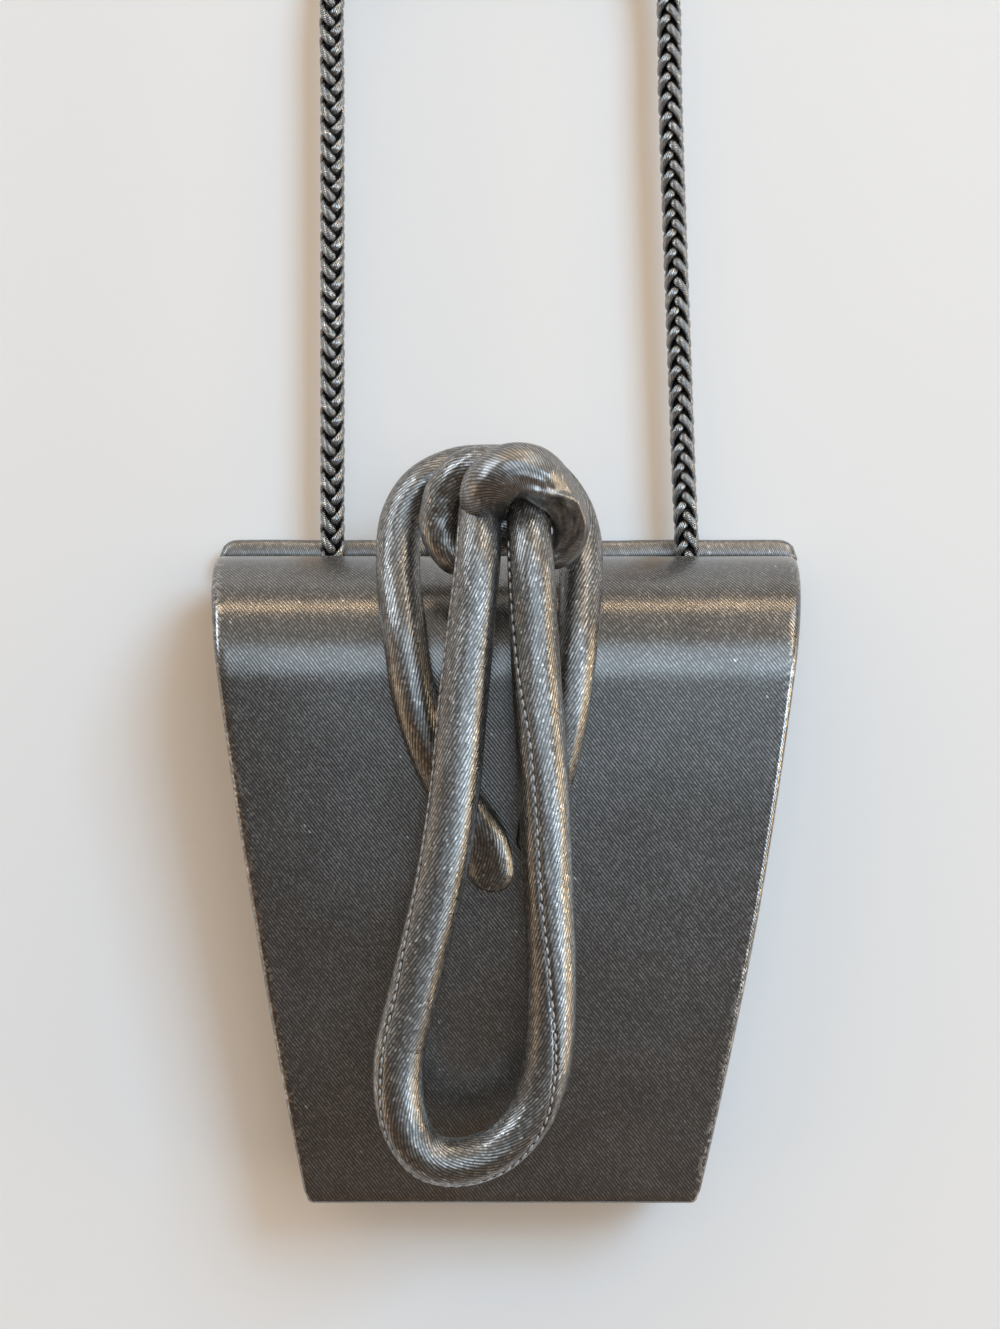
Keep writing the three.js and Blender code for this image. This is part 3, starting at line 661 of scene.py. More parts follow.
# %% Fabric over a board
EDGE = 1.6  # radius of the turn round a board's edge
HEM = 7
TURN_STEPS = 6
SATIN_THICKNESS = 0.5
WORN_RIM = 0.7  # how far wear reaches in from a side edge
CROWN_RIM = 0.2  # share of the face over which the padding rises
SLACK = 0.12  # height of the slow waves in the cloth
SLACK_SCALE = 0.035


def lay_cloth(bm, columns, rows, outward, lay):
    """A grid of cloth whose outer face looks outward.

    lay(vert, u, v) gives a corner's place on the flat cloth and on the bag; u and v run from 0 to 1.
    """
    cloth = cloth_map(bm)
    grid = bmesh.ops.create_grid(bm, x_segments=columns, y_segments=rows, size=1)["verts"]
    middle = min(grid, key=lambda vert: vert.co.length)
    flat = {}
    for vert in grid:
        flat[vert], vert.co = lay(vert, (vert.co.x + 1) / 2, (vert.co.y + 1) / 2)
    for face in bm.faces:
        for loop in face.loops:
            loop[cloth].uv = flat[loop.vert]
    bm.normal_update()
    if middle.normal.dot(outward) < 0:
        bmesh.ops.reverse_faces(bm, faces=bm.faces)


def cloth_rows(steps):
    """Across a cloth: the share of the face, the overhang past the edge and which edge it is."""
    turn = [EDGE * math.pi * k / TURN_STEPS for k in range(1, TURN_STEPS + 1)]
    over = [*turn, turn[-1] + HEM / 2, turn[-1] + HEM]
    low = [(0, extra, -1) for extra in reversed(over)]
    high = [(1, extra, 1) for extra in over]
    return [*low, *((i / steps, 0, 0) for i in range(steps + 1)), *high]


def turned_edge(across, along_face):
    """How far an overhang reaches out both ways, and how deep it lies."""
    turn_a, turn_b = (min(over / EDGE, math.pi) for over in (across, along_face))
    turn = min(math.hypot(turn_a, turn_b), math.pi)
    if turn == 0:
        return 0, 0, 0
    reach = EDGE * math.sin(turn) / math.hypot(turn_a, turn_b)
    hem_a, hem_b = (max(0, over - EDGE * math.pi) for over in (across, along_face))
    return reach * turn_a - hem_a, reach * turn_b - hem_b, EDGE * (1 - math.cos(turn))


def upholster(place, sides, length, steps, puff, outward, wear=()):
    """Lay a cloth on a face. place(x, q, depth) is a point of the board, and sides(q) its two edges."""
    columns = cloth_rows(steps[0])
    rows = cloth_rows(steps[1])
    last_column = len(columns) - 1
    last_row = len(rows) - 1
    bm = bmesh.new()
    worn = bm.verts.layers.float.new("worn")

    def lay(vert, u, v):
        share, over, way = columns[round(u * last_column)]
        share_q, over_q, way_q = rows[round(v * last_row)]
        out, out_q, depth = turned_edge(over, over_q)
        q = EDGE + share_q * (length - 2 * EDGE)
        left, right = sides(q)
        x = left + EDGE + share * (right - left - 2 * EDGE)
        margin = min(share, 1 - share, share_q, 1 - share_q)
        crown = puff * (1 - (1 - min(1, margin / CROWN_RIM)) ** 2)
        ripple = SLACK * noise.noise(Vector((x, q, depth)) * SLACK_SCALE)
        rim = min(share * (right - left), (1 - share) * (right - left))
        spots = (1 - math.hypot(x - spot_x, q - spot_q) / reach for spot_x, spot_q, reach in wear)
        vert[worn] = max(0, 1 - rim / WORN_RIM, *spots)
        spot = place(x + way * out, q + way_q * out_q, depth - crown - ripple)
        return (x + way * over, q + way_q * over_q), spot

    lay_cloth(bm, last_column, last_row, outward, lay)
    return bm


print(f"Cloth turns round an edge of {EDGE} mm, with a hem of {HEM} mm")

# %% [markdown]
# ## Flap
# The flap runs from the hinge over a round shoulder and straight down the front. Its face is one line
# seen from the side, so a distance down that line and a depth below it place every point of it.

# %% Flap
SHOULDER = 27
TILT = math.radians(5)
TOP_WIDTH = 135
BASE_WIDTH = 89
SIDE_BOW = 2.1
CORNER = 3
FLAP_DRIFT = -0.9  # the foot of the flap hangs a little to the left
DRIFT_START = 0.6  # share of the flap's length from which it drifts
FLAP_PUFF = 0.3
FLAP_GRID = (100, 130)
SHOULDER_Z = HEIGHT - SHOULDER
ARC = SHOULDER * (math.pi / 2 + TILT)
STRAIGHT = (SHOULDER_Z - SHOULDER * math.sin(TILT)) / math.cos(TILT)
FLAP_WEAR = [
    (-60.3, 52.3, 2.6), (-58.0, 69.0, 1.8), (-57.4, 75.0, 2.2), (-57.0, 80.5, 2.4), (58.0, 78.3, 2.0),
    (60.2, 62.0, 1.6),
]  # worn spots: across, down the flap and how far each reaches


def flap_place(x, q, depth):
    """A point q down the flap from its rear edge, below its face."""
    angle = min(max(q, 0) / SHOULDER, math.pi / 2 + TILT)
    rest = q - angle * SHOULDER
    reach = SHOULDER - depth
    y = -reach * math.sin(angle) - rest * math.cos(angle)
    z = SHOULDER_Z + reach * math.cos(angle) - rest * math.sin(angle)
    return at(x, y, z)


def half_width(z):
    t = z / HEIGHT
    return (BASE_WIDTH + (TOP_WIDTH - BASE_WIDTH) * t) / 2 + SIDE_BOW * 4 * t * (1 - t)


def flap_sides(q):
    z = (flap_place(0, q, 0).z - BASE) / MM
    half = half_width(z)
    corner = max(0, CORNER - (ARC + STRAIGHT - q))
    half -= CORNER - math.sqrt(max(0, CORNER ** 2 - corner ** 2))
    drift = FLAP_DRIFT * max(0, q / (ARC + STRAIGHT) - DRIFT_START) / (1 - DRIFT_START)
    return drift - half, drift + half


flap_cloth = upholster(
    flap_place, flap_sides, ARC + STRAIGHT, FLAP_GRID, FLAP_PUFF, TOWARDS_FRONT, FLAP_WEAR)
flap_satin = make_piece(
    flap_cloth, "flap_satin", satin_flat, "flap", ["flap_cover"], SATIN_THICKNESS)

# %% [markdown]
# ## Padded roll
# Along the top of the back panel lies a soft padded roll. Its upper edge waves a little where the
# stitches pull it, and its two ends are round.

# %% Padded roll
ROLL_HALF = 69.2
ROLL_MIDDLE = 0.6
ROLL_Y = 11.2
ROLL_LOW = 143.4
ROLL_TOP = 152.4
ROLL_DEPTH = 2.0
ROLL_STATIONS = 120
ROLL_SIDES = 64
ROLL_WAVE = 0.35
ROLL_WAVE_SCALE = 0.06
VALLEY_WIDTH = 0.2
VALLEY_DEPTH = 0.12

roll_middle = (ROLL_LOW + ROLL_TOP) / 2
roll_line = []
for i in range(ROLL_STATIONS + 1):
    x = ROLL_MIDDLE + ROLL_HALF * (2 * i / ROLL_STATIONS - 1)
    wave = ROLL_WAVE * noise.noise(Vector((x * ROLL_WAVE_SCALE, 4.0, 0)))
    roll_line.append(at(x, ROLL_Y, roll_middle + wave))
roll_heights = round_ends([(ROLL_TOP - ROLL_LOW) / 2 * MM] * len(roll_line), 2 * ROLL_HALF * MM)
roll_depths = round_ends([ROLL_DEPTH * MM] * len(roll_line), 2 * ROLL_HALF * MM)


def sewn_valley(share, angle):
    """The line along the front of the roll where it is sewn down behind the flap, painted dark there as the shade
    of the valley.
    """
    return VALLEY_DEPTH * math.exp(-((angle - math.pi) / VALLEY_WIDTH) ** 2)


roll_mesh = bmesh.new()
roll(roll_mesh, roll_line, roll_heights, roll_depths, ROLL_SIDES, None, sewn_valley)
top_roll = make_piece(roll_mesh, "top_roll", satin_wrap, "body", ["back_top_roll"])

# %% [markdown]
# ## Teardrop
# A stuffed tube is sewn to the flap in a teardrop. One end is pressed flat and shows as a tongue, and the
# other is sewn down beside it. The route on the flap counts down from the crest, and the rest stands
# free above.

# %% Teardrop
ANCHOR_Y = -22
TUBE_SIDES = 48
WRINKLE_TURN = 1.6  # how quickly creases change round a tube
FINE_WRINKLE = 0.4  # size of a second, finer set beside the first
FINE_SCALE = 2.7


def on_flap(x, drop, lift):
    """A point in front of the flap's face, a drop below the crest."""
    z = HEIGHT - drop
    reach = SHOULDER + lift
    if z - SHOULDER_Z > -reach * math.sin(TILT):
        return at(x, -math.sqrt(reach ** 2 - (z - SHOULDER_Z) ** 2), z)
    down = (SHOULDER_Z - reach * math.sin(TILT) - z) / math.cos(TILT)
    return at(x, -reach * math.cos(TILT) + down * math.sin(TILT), z)


TEARDROP = [
    *(on_flap(x, drop, lift) for x, drop, lift in (
        (-3.8, 76.2, 3.2), (-3.3, 71.6, 3.4), (-4.4, 65.5, 4.2), (-9.2, 57.6, 5.2), (-15.1, 47.6, 5.3),
        (-19.9, 33.7, 5.3), (-22.5, 17.8, 5.3))),
    *(at(x, ANCHOR_Y + back, HEIGHT + up) for x, up, back in (
        (-24.1, -3.0, -3.4), (-23.2, 7.4, -1.2), (-18.8, 14.6, -0.4), (-10.8, 18.6, 0), (-3.6, 19.2, 0),
        (3.0, 18.6, 0), (9.8, 15.8, 0), (14.0, 10.4, -0.4), (16.2, 4.0, -1.6), (16.7, -3.0, -3.4))),
    *(on_flap(x, drop, lift) for x, drop, lift in (
        (15.8, 17.8, 5.3), (13.9, 33.7, 5.3), (11.0, 47.6, 5.3), (7.9, 58.7, 4.8),
        (6.6, 64.6, 3.0), (6.0, 68.6, 2.2))),
]
TEARDROP_STATIONS = 260
TEARDROP_MIDDLE = [4.9, 4.9, 5.0, 5.0, 4.9, 4.8, 4.8, 4.9, 5.0, 4.9, 4.8, 4.8, 4.9]
TEARDROP_WIDTHS = [5.0, 5.2, 5.1, 5.0, *TEARDROP_MIDDLE, 4.8, 4.6, 4.2]
TEARDROP_DEPTHS = [2.6, 3.2, 4.2, 4.7, *TEARDROP_MIDDLE, 4.6, 3.2, 2.0]


def wrinkle(seed, size, pitch):
    """Small creases that run along a tube and come and go, each painted a little darker as shade."""

    def dent(share, angle):
        across, deep = math.cos(angle) * WRINKLE_TURN, math.sin(angle) * WRINKLE_TURN
        spot = Vector((share * pitch, across, deep + seed))
        fine = FINE_WRINKLE * noise.noise(spot * FINE_SCALE)
        return size * (max(0, noise.noise(spot)) + fine)

    return dent


def tube_piece(bm, points, stations, widths, depths, dent, sides=TUBE_SIDES):
    line = through(points, stations)
    length = line_length(line)
    across = round_ends(along(widths, stations) * MM, length)
    deep = round_ends(along(depths, stations) * MM, length)
    roll(bm, line, across, deep, sides, dent=dent)
    return line


teardrop_mesh = bmesh.new()
tube_piece(
    teardrop_mesh, TEARDROP, TEARDROP_STATIONS, TEARDROP_WIDTHS, TEARDROP_DEPTHS, wrinkle(3, 0.07, 9))
teardrop = make_piece(teardrop_mesh, "teardrop", satin_tube, "flap", ["anchor_loop"])

# %% [markdown]
# ## Hitch
# The hand loop is hitched over the top of the teardrop. Three stretches of its tube show: one comes
# out from behind, crosses the front and dives down the right side, one bends over the left, and one
# turns behind the two legs. Pulled tight, the front one is pinched up in a ridge along its length. A
# dent of the rolled cloth makes that fold, so the weave runs over it as it does in cloth.

# %% Hitch
def above_crest(points):
    """Points whose heights count from the crest of the flap."""
    return [at(x, y, HEIGHT + up) for x, y, up in points]


FRONT_WRAP = above_crest((
    (-3.4, -35.0, 8.6), (-4.8, -41.0, 9.6), (-3.6, -45.2, 13.2), (0.8, -46.4, 16.0), (5.4, -45.4, 15.6),
    (9.6, -42.2, 12.6), (12.9, -39.4, 8.4), (14.0, -37.0, 3.6), (12.2, -35.4, -0.4), (7.6, -34.4, -2.6)))
WRAP_RADII = [4.2, 5.0, 5.6, 6.1, 6.0, 5.4, 4.6, 4.1, 3.5, 3.0]
LEFT_STRAND = above_crest((
    (1.0, -38.0, 16.6), (-4.8, -37.2, 18.0), (-9.6, -35.4, 16.6), (-12.9, -33.8, 12.8), (-14.2, -32.8, 8.0),
    (-14.2, -32.6, 3.4), (-11.8, -33.0, -1.2), (-8.0, -34.0, -3.8)))
STRAND_RADII = [3.8, 4.1, 4.4, 4.6, 4.7, 4.6, 4.1, 3.8]
BACK_TURN = above_crest((
    (-7.0, -33.4, -3.0), (-4.4, -33.2, 2.2), (0.2, -33.0, 4.8), (4.6, -33.2, 2.2), (7.0, -33.4, -3.0)))
TURN_RADII = [4.2, 4.8, 5.0, 4.8, 4.2]
RIDGE_ANGLES = [84, 80, 72, 60, 40, 4, -30, -46, -46, -40]  # from the front towards the inner side
RIDGE_WIDTH = 0.17  # radians
RIDGE_RISE = 0.12  # share of the radius
TUCK_AWAY = 0.5  # radians from the ridge to the deepest of the tuck
TUCK_WIDTH = 0.36
TUCK_DEPTH = 0.06
WRAP_STATIONS = 140
WRAP_SIDES = 96
HITCH_STATIONS = 110
HITCH_WRINKLE = (0.09, 5)  # depth, and how many to the length


def wrap_fold(share, angle):
    """The wrap is pinched up in a ridge, and the cloth on the inner side of it is tucked in and painted darker
    there as shade.
    """
    ridge = math.radians(float(np.interp(share, np.linspace(0, 1, len(RIDGE_ANGLES)), RIDGE_ANGLES)))
    inner = math.pi - angle - ridge
    rise = RIDGE_RISE * math.exp(-(inner / RIDGE_WIDTH) ** 2)
    tuck = TUCK_DEPTH * math.exp(-((inner - TUCK_AWAY) / TUCK_WIDTH) ** 2)
    return (tuck - rise) * math.sin(math.pi * share) ** 0.5 + creases(share, angle)


hitch_mesh = bmesh.new()
creases = wrinkle(11, *HITCH_WRINKLE)
tube_piece(hitch_mesh, FRONT_WRAP, WRAP_STATIONS, WRAP_RADII, WRAP_RADII, wrap_fold, WRAP_SIDES)
for face in hitch_mesh.faces:
    face.material_index = 1
for route, radii, seed in ((LEFT_STRAND, STRAND_RADII, 19), (BACK_TURN, TURN_RADII, 23)):
    tube_piece(hitch_mesh, route, HITCH_STATIONS, radii, radii, wrinkle(seed, *HITCH_WRINKLE))
hitch = make_piece(hitch_mesh, "hitch", satin_tube, "flap", ["loop_knot"])
hitch.data.materials.append(satin_wrap)

# %% [markdown]
# ## Hand loop
# The loop hangs from the hitch in front of everything. Its seam is sewn by machine, and it wanders
# round the tube: inside the right leg at the top, across its front, and along the outer edge of the
# bottom and of the left leg. The top of both legs bends with the joint instead of breaking there.

# %% Hand loop
HAND_Y = -43.3
HAND_LENGTH = 132
SWING_DROP = 2
HAND_LEFT = [
    (-0.105, -5.6, 6.8), (-0.05, -5.8, 2.6), (0, -6.0, 0), (0.12, -7.6, -0.6), (0.24, -9.3, -1.2),
    (0.37, -10.9, -1.6), (0.505, -13.6, -1.2), (0.7, -19.6, -0.3), (0.836, -23.3, 0.3), (0.93, -21.6, 0.6),
    (0.98, -16.6, 0.7),
]
HAND_LOW = (0.989, -10.4, 0.8)
HAND_RIGHT = [
    (-0.105, 4.7, 6.8), (-0.05, 4.9, 2.6), (0, 5.2, 0), (0.12, 5.9, -0.6), (0.24, 6.8, -1.2),
    (0.37, 8.0, -1.6), (0.505, 8.8, -1.2), (0.7, 9.7, -0.3), (0.836, 8.6, 0.3), (0.915, 4.8, 0.6),
    (0.97, -2.2, 0.7),
]
HAND_STATIONS = 420
HAND_SIDES = 96
SEAM_ANGLES = [70, 72, 74, 74, 70, 60, 43, 40, 66, 62, 24, -1, -17, -21, -26, -54, -70, -76]
SEAM_WIDTH = 0.085  # radians on each side
SEAM_DEPTH = 0.08  # share of the radius
HAND_RADII = [4.6, 5.1, 5.4, 5.5, 5.5, 5.5, 5.3, 5.1, 5.3, 5.4, 5.5, 5.4, 5.2, 4.6]
BEND_ABOVE = 9  # the legs bend from this far above the joint
BEND_BELOW = 12


def seam_angle(share):
    return math.radians(float(np.interp(share, np.linspace(0, 1, len(SEAM_ANGLES)), SEAM_ANGLES)))


def seam_dent(share, angle):
    """The seam draws the tube in along its line, and the groove is painted darker as shade; angle pi is the front
    and 3/2 pi the inner side.
    """
    from_front = math.pi - angle
    away = (from_front - seam_angle(share) + math.pi) % (2 * math.pi) - math.pi
    return SEAM_DEPTH * math.exp(-(away / SEAM_WIDTH) ** 2) + hand_wrinkle(share, angle)


hand_wrinkle = wrinkle(27, 0.035, 16)
hand_route = [*HAND_LEFT, HAND_LOW, *reversed(HAND_RIGHT)]
hand_points = [
    at(x, HAND_Y + back, HEIGHT - SWING_DROP - share * HAND_LENGTH) for share, x, back in hand_route]
hand_mesh = bmesh.new()
hand_line = tube_piece(hand_mesh, hand_points, HAND_STATIONS, HAND_RADII, HAND_RADII, seam_dent, HAND_SIDES)
hand_tube = make_piece(hand_mesh, "hand_tube", satin_tube, nodes=["hand_loop"])
bend_top = SWING + Vector((0, 0, BEND_ABOVE * MM))
bend_low = SWING - Vector((0, 0, BEND_BELOW * MM))
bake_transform(hand_tube, "flap", "hand_loop", start=bend_top, end=bend_low)

# %% [markdown]
# ## Seam stitches
# The seam is a row of short machine stitches in the groove. One stitch is a small ball drawn out along
# the seam, so a few faces are enough, and it is copied at an even pitch. They bend with the loop.

# %% Seam stitches
STITCH_PITCH = 2.3
STITCH_LENGTH = 1.8
STITCH_RADIUS = 0.31
STITCH_SINK = 0.35  # share of the groove's depth at which a stitch lies
SEAM_TRIM = 14  # stations without stitches, inside the hitch
SEAM_STEP = 6

hand_frames = axes(hand_line)
hand_radii = along(HAND_RADII, HAND_STATIONS)
seam_line = []
for i, place in enumerate(hand_line):
    _, front, side = hand_frames[i]
    angle = seam_angle(i / (HAND_STATIONS - 1))
    outward = front * math.cos(angle) + side * math.sin(angle)
    seam_line.append(place + outward * hand_radii[i] * (1 - SEAM_DEPTH * STITCH_SINK) * MM)
sewn_line = seam_line[SEAM_TRIM:-SEAM_TRIM]
stitch_count = round(line_length(sewn_line) / MM / STITCH_PITCH)
stitch_places = through(sewn_line[::SEAM_STEP], stitch_count)
stitch_size = Vector((STITCH_RADIUS, STITCH_RADIUS, STITCH_LENGTH / 2)) * MM
stitch_mesh = bmesh.new()
cloth_map(stitch_mesh)
for here, ahead in zip(stitch_places, stitch_places[1:]):
    turn = (ahead - here).to_track_quat("Z", "Y").to_matrix().to_4x4()
    ball = bmesh.ops.create_uvsphere(stitch_mesh, u_segments=6, v_segments=5, radius=1)["verts"]
    bmesh.ops.scale(stitch_mesh, verts=ball, vec=stitch_size)
    bmesh.ops.rotate(stitch_mesh, verts=ball, matrix=turn)
    bmesh.ops.translate(stitch_mesh, verts=ball, vec=here)
seam_stitches = make_piece(stitch_mesh, "seam_stitches", seam_thread)
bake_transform(seam_stitches, "flap", "hand_loop", start=bend_top, end=bend_low)

# %% [markdown]
# ## Box under the flap
# The front wall, the back panel and the bottom are boards covered in the same way as the flap, each
# with a lining sewn in behind. One function places the points of each panel, and the same cloth is laid
# on it. The satin of the base goes over the ends of its board, which show between front and back.

# %% Box under the flap
PANEL = 3.8
LINING = 0.5
LINING_INSET = 2.2
LINING_GRID = (24, 40)
LINING_SLACK = 0.15
LINING_SLACK_SCALE = 0.06
PANEL_PUFF = 0.25
WALL_DEPTH = 7.1  # outer face of the front wall, below the flap's face
WALL_DROP = 8
WALL_INSET = 2.5
BACK_Y = 13.1
BACK_HEIGHT = 143
INNER_GAP = 0.3
BASE_WRAP = 0.6
wall_top = STRAIGHT - (SHOULDER_Z - WALL_DROP) / math.cos(TILT)
wall_length = STRAIGHT - wall_top
base_front = (flap_place(0, ARC + STRAIGHT, WALL_DEPTH + PANEL + INNER_GAP).y - HINGE.y) / MM
base_length = BACK_Y - PANEL - INNER_GAP - base_front


def wall_place(x, q, depth):
    return flap_place(x, ARC + wall_top + q, WALL_DEPTH + depth)


def wall_sides(q):
    half = half_width((wall_place(0, q, 0).z - BASE) / MM) - WALL_INSET
    return -half, half


def back_place(x, q, depth):
    return at(x, BACK_Y - depth, q)


def back_sides(q):
    corner = max(0, CORNER - q)
    half = half_width(q) - CORNER + math.sqrt(CORNER ** 2 - corner ** 2)
    return -half, half


def base_place(x, q, depth):
    return at(x, base_front + q, depth)


def base_sides(q):
    half = half_width(0) - WALL_INSET
    return -half, half


def lined_panel(name, place, sides, length, steps, outward, nodes, wrap=0):
    """A covered board with its lining behind. The cover reaches past the board's sides by wrap."""

    def cover_sides(q):
        left, right = sides(q)
        return left - wrap, right + wrap

    cover = upholster(place, cover_sides, length, steps, PANEL_PUFF, outward)
    make_piece(cover, name + "_satin", satin_flat, "body", [nodes[0]], SATIN_THICKNESS)
    line_panel(name, place, sides, length, outward, "body", nodes[1])


def line_panel(name, place, sides, length, outward, body, node_name):
    """A sheet of lining on the inner face of a panel."""
    bm = bmesh.new()

    def lay(vert, u, v):
        q = LINING_INSET + v * (length - 2 * LINING_INSET)
        left, right = (end * (1 - LINING_INSET / abs(end)) for end in sides(q))
        x = left + u * (right - left)
        ripple = LINING_SLACK * noise.noise(Vector((x, q, 7)) * LINING_SLACK_SCALE)
        return (x, q), place(x, q, PANEL + ripple)

    lay_cloth(bm, *LINING_GRID, -outward, lay)
    wide = max(abs(end) for q in (0, length) for end in sides(q)) * 2 * MM
    area = sum(face.calc_area() for face in bm.faces)
    sheet = make_piece(bm, name + "_lining_sheet", lining_cloth, body, [node_name], LINING)


lined_panel("front", wall_place, wall_sides, wall_length, (48, 60), TOWARDS_FRONT,
            ("front_cover", "front_lining"))
lined_panel("back", back_place, back_sides, BACK_HEIGHT, (56, 80), Vector((0, 1, 0)),
            ("back_cover", "back_lining"))
lined_panel("base", base_place, base_sides, base_length, (40, 10), Vector((0, 0, -1)),
            ("base_cover", "base_lining"), BASE_WRAP)
line_panel("flap", flap_place, flap_sides, ARC + STRAIGHT, TOWARDS_FRONT, "flap", "flap_lining")

# %% [markdown]
# ## Side walls
# A soft wall of satin, lined inside, closes each side between the front and the back. It has no board,
# so it folds a little inwards towards its top, as it does when the bag is shut. The two walls are the
# same cloth with the side turned round.

# %% Side walls
GUSSET = 1.2
GUSSET_INSET = 4.2
GUSSET_LINING_INSET = 5.8
GUSSET_LOW = 4.1
GUSSET_BACK_TOP = 139
FOLD = 2.0
FOLD_SHAPE = 0.8
GUSSET_GRID = (18, 60)
gusset_front_top = (wall_place(0, 0, PANEL + INNER_GAP).z - BASE) / MM


def side_wall(name, side, inset, thickness, material, node_name):
    """A soft wall between the front and the back, folded inwards towards its top."""
    bm = bmesh.new()

    def lay(vert, share, rise):
        top = gusset_front_top + share * (GUSSET_BACK_TOP - gusset_front_top)
        z = GUSSET_LOW + rise * (top - GUSSET_LOW)
        down = (SHOULDER_Z - SHOULDER * math.sin(TILT) - z) / math.cos(TILT)
        near = (flap_place(0, ARC + max(0, down), WALL_DEPTH + PANEL + INNER_GAP).y - HINGE.y) / MM
        y = near + share * (BACK_Y - PANEL - INNER_GAP - near)
        fold = FOLD * rise * (1 - abs(2 * share - 1)) ** FOLD_SHAPE
        return (y, z), at(side * (half_width(z) - inset - fold), y, z)

    lay_cloth(bm, *GUSSET_GRID, Vector((side, 0, 0)), lay)
    make_piece(bm, name, material, "body", [node_name], thickness)


for label, side in (("left", -1), ("right", 1)):
    side_wall(f"{label}_side_satin", side, GUSSET_INSET, GUSSET, satin_flat, f"{label}_gusset")
    side_wall(f"{label}_side_lining", side, GUSSET_LINING_INSET, LINING, lining_cloth,
              f"{label}_gusset_lining")

# %% [markdown]
# ## Fabric hinge and cord sleeves
# A strip of satin joins the flap to the back panel, with a hole for each end of the cord. It is one
# sheet, and it bends with the joint: one edge stays with the back and the other goes with the flap.
# Inside, each end of the cord sits in a sewn sleeve on the back lining.

# %% Fabric hinge and cord sleeves
STRIP_HALF = 65.5
STRIP_FRONT = 1.2
STRIP_BACK = 9.6
STRIP_Z = 146.0
STRIP_SAG = 1.0
STRIP_THICKNESS = 0.7
STRIP_GRID = (180, 14)
HOLE = 2.75
SLEEVE_HALF = 7
SLEEVE_TOP = 141
SLEEVE_LOW = 121
SLEEVE_BULGE = 7.6
SLEEVE_ARCH = 2.6  # above 2 the arch is flatter than a round
SLEEVE_CLOSE = 0.2  # share of its height over which it closes at its foot
SLEEVE_GRID = (28, 30)


def hinge_fabric():
    bm = bmesh.new()

    def lay(vert, u, v):
        x = (2 * u - 1) * STRIP_HALF
        y = STRIP_FRONT + v * (STRIP_BACK - STRIP_FRONT)
        return (x, y), at(x, y, STRIP_Z - STRIP_SAG * math.sin(math.pi * v))

    lay_cloth(bm, *STRIP_GRID, Vector((0, 0, 1)), lay)
    exits = [at(x, CORD_Y, STRIP_Z) for x, _ in (LEFT_EXIT, RIGHT_EXIT)]
    inside = [face for face in bm.faces if any(
        (face.calc_center_median() - place).xy.length < HOLE * MM for place in exits)]
    bmesh.ops.delete(bm, geom=inside, context="FACES")
    return make_piece(
        bm, "hinge_fabric", satin_flat, nodes=["hinge_strip"], thickness=STRIP_THICKNESS)


hinge = hinge_fabric()
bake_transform(hinge, "body", "flap", start=at(0, STRIP_BACK, STRIP_Z), end=at(0, STRIP_FRONT, STRIP_Z))


def cord_sleeve(name, middle, node_name):
    """A patch of lining that arches over the end of the cord."""
    bm = bmesh.new()

    def lay(vert, u, rise):
        across = 2 * u - 1
        bulge = SLEEVE_BULGE * (1 - abs(across) ** SLEEVE_ARCH) * min(1, rise / SLEEVE_CLOSE) ** 0.5
        z = SLEEVE_LOW + rise * (SLEEVE_TOP - SLEEVE_LOW)
        x = across * SLEEVE_HALF
        return (x, z), at(middle + x, BACK_Y - PANEL - INNER_GAP - bulge, z)

    lay_cloth(bm, *SLEEVE_GRID, TOWARDS_FRONT, lay)
    make_piece(bm, name, lining_cloth, "body", [node_name], LINING)


cord_sleeve("left_sleeve", LEFT_EXIT[0], "strap_sleeve_left")
cord_sleeve("right_sleeve", RIGHT_EXIT[0], "strap_sleeve_right")

# %% [markdown]
# ## Boards and snap
# The boards and washers are hard pieces whose CAD shape is right, so they stay as they are and only
# take their finish. The two halves of the magnetic snap show when the flap is open. Each is a pressed
# disc: a cone operator gives the disc, a bevel its round rim, and insets the eye in its middle.

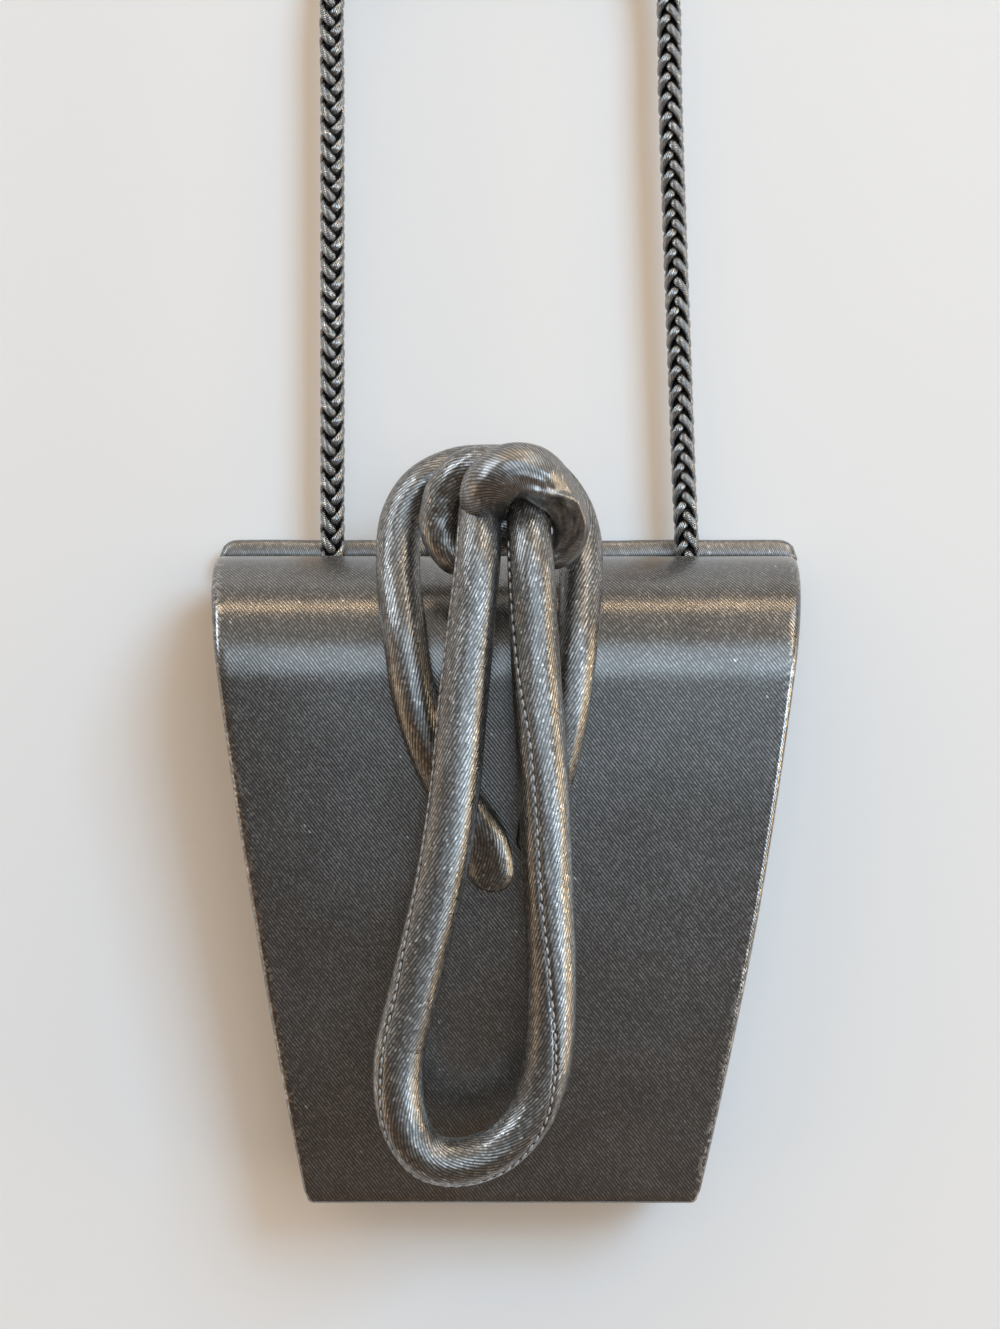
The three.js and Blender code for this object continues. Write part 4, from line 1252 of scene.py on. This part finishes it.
# %% Boards and snap
SNAP_HEIGHT = 34
SNAP_RADIUS = 8
SNAP_HALF = 1.2
SNAP_SIDES = 64
SNAP_RIM = 0.4
SNAP_EYE = 2.6
SNAP_STEP = 0.3
SNAP_DISH = 0.5
STUD_DEPTH = 4.1  # of its face below the flap's face
SOCKET_DEPTH = 5.6

for name, piece in frame["nodes"].items():
    finish = fibre_board if name.endswith("_board") else nickel_snap
    if name.endswith(("_board", "_washer")):
        piece.data.materials.clear()
        piece.data.materials.append(finish)
        print(f"{name}: {finish.name}")


def snap_half(name, depth, way, body, node_name):
    """One half of the snap, with its eye towards the flap (1) or away from it (-1)."""
    bm = bmesh.new()
    radius = SNAP_RADIUS * MM
    bmesh.ops.create_cone(
        bm, cap_ends=True, segments=SNAP_SIDES, radius1=radius, radius2=radius, depth=SNAP_HALF * MM)
    rims = [edge for edge in bm.edges if abs(edge.verts[0].co.z - edge.verts[1].co.z) < WELD]
    bmesh.ops.bevel(
        bm, geom=rims, offset=SNAP_RIM * MM, segments=3, profile=0.5, affect="EDGES", material=-1)
    face = max(bm.faces, key=lambda f: f.calc_center_median().z)
    flat = SNAP_RADIUS - SNAP_RIM - 2 * SNAP_STEP - SNAP_EYE
    for inset, drop in ((SNAP_STEP, 0), (flat, 0), (SNAP_STEP, SNAP_DISH), (SNAP_STEP, 0)):
        bmesh.ops.inset_region(bm, faces=[face], thickness=inset * MM, depth=-drop * MM)
    seat = ARC + STRAIGHT - SNAP_HEIGHT
    facing = (flap_place(0, seat, 0) - flap_place(0, seat, 1)) * way
    turn = facing.to_track_quat("Z", "Y").to_matrix()
    bmesh.ops.rotate(bm, verts=bm.verts, cent=(0, 0, 0), matrix=turn)
    bmesh.ops.translate(bm, verts=bm.verts, vec=flap_place(0, seat, depth + SNAP_HALF / 2))
    make_piece(bm, name, nickel_snap, body, [node_name])


snap_half("snap_stud", STUD_DEPTH, -1, "flap", "magnet_stud")
snap_half("snap_socket", SOCKET_DEPTH, 1, "body", "magnet_socket")
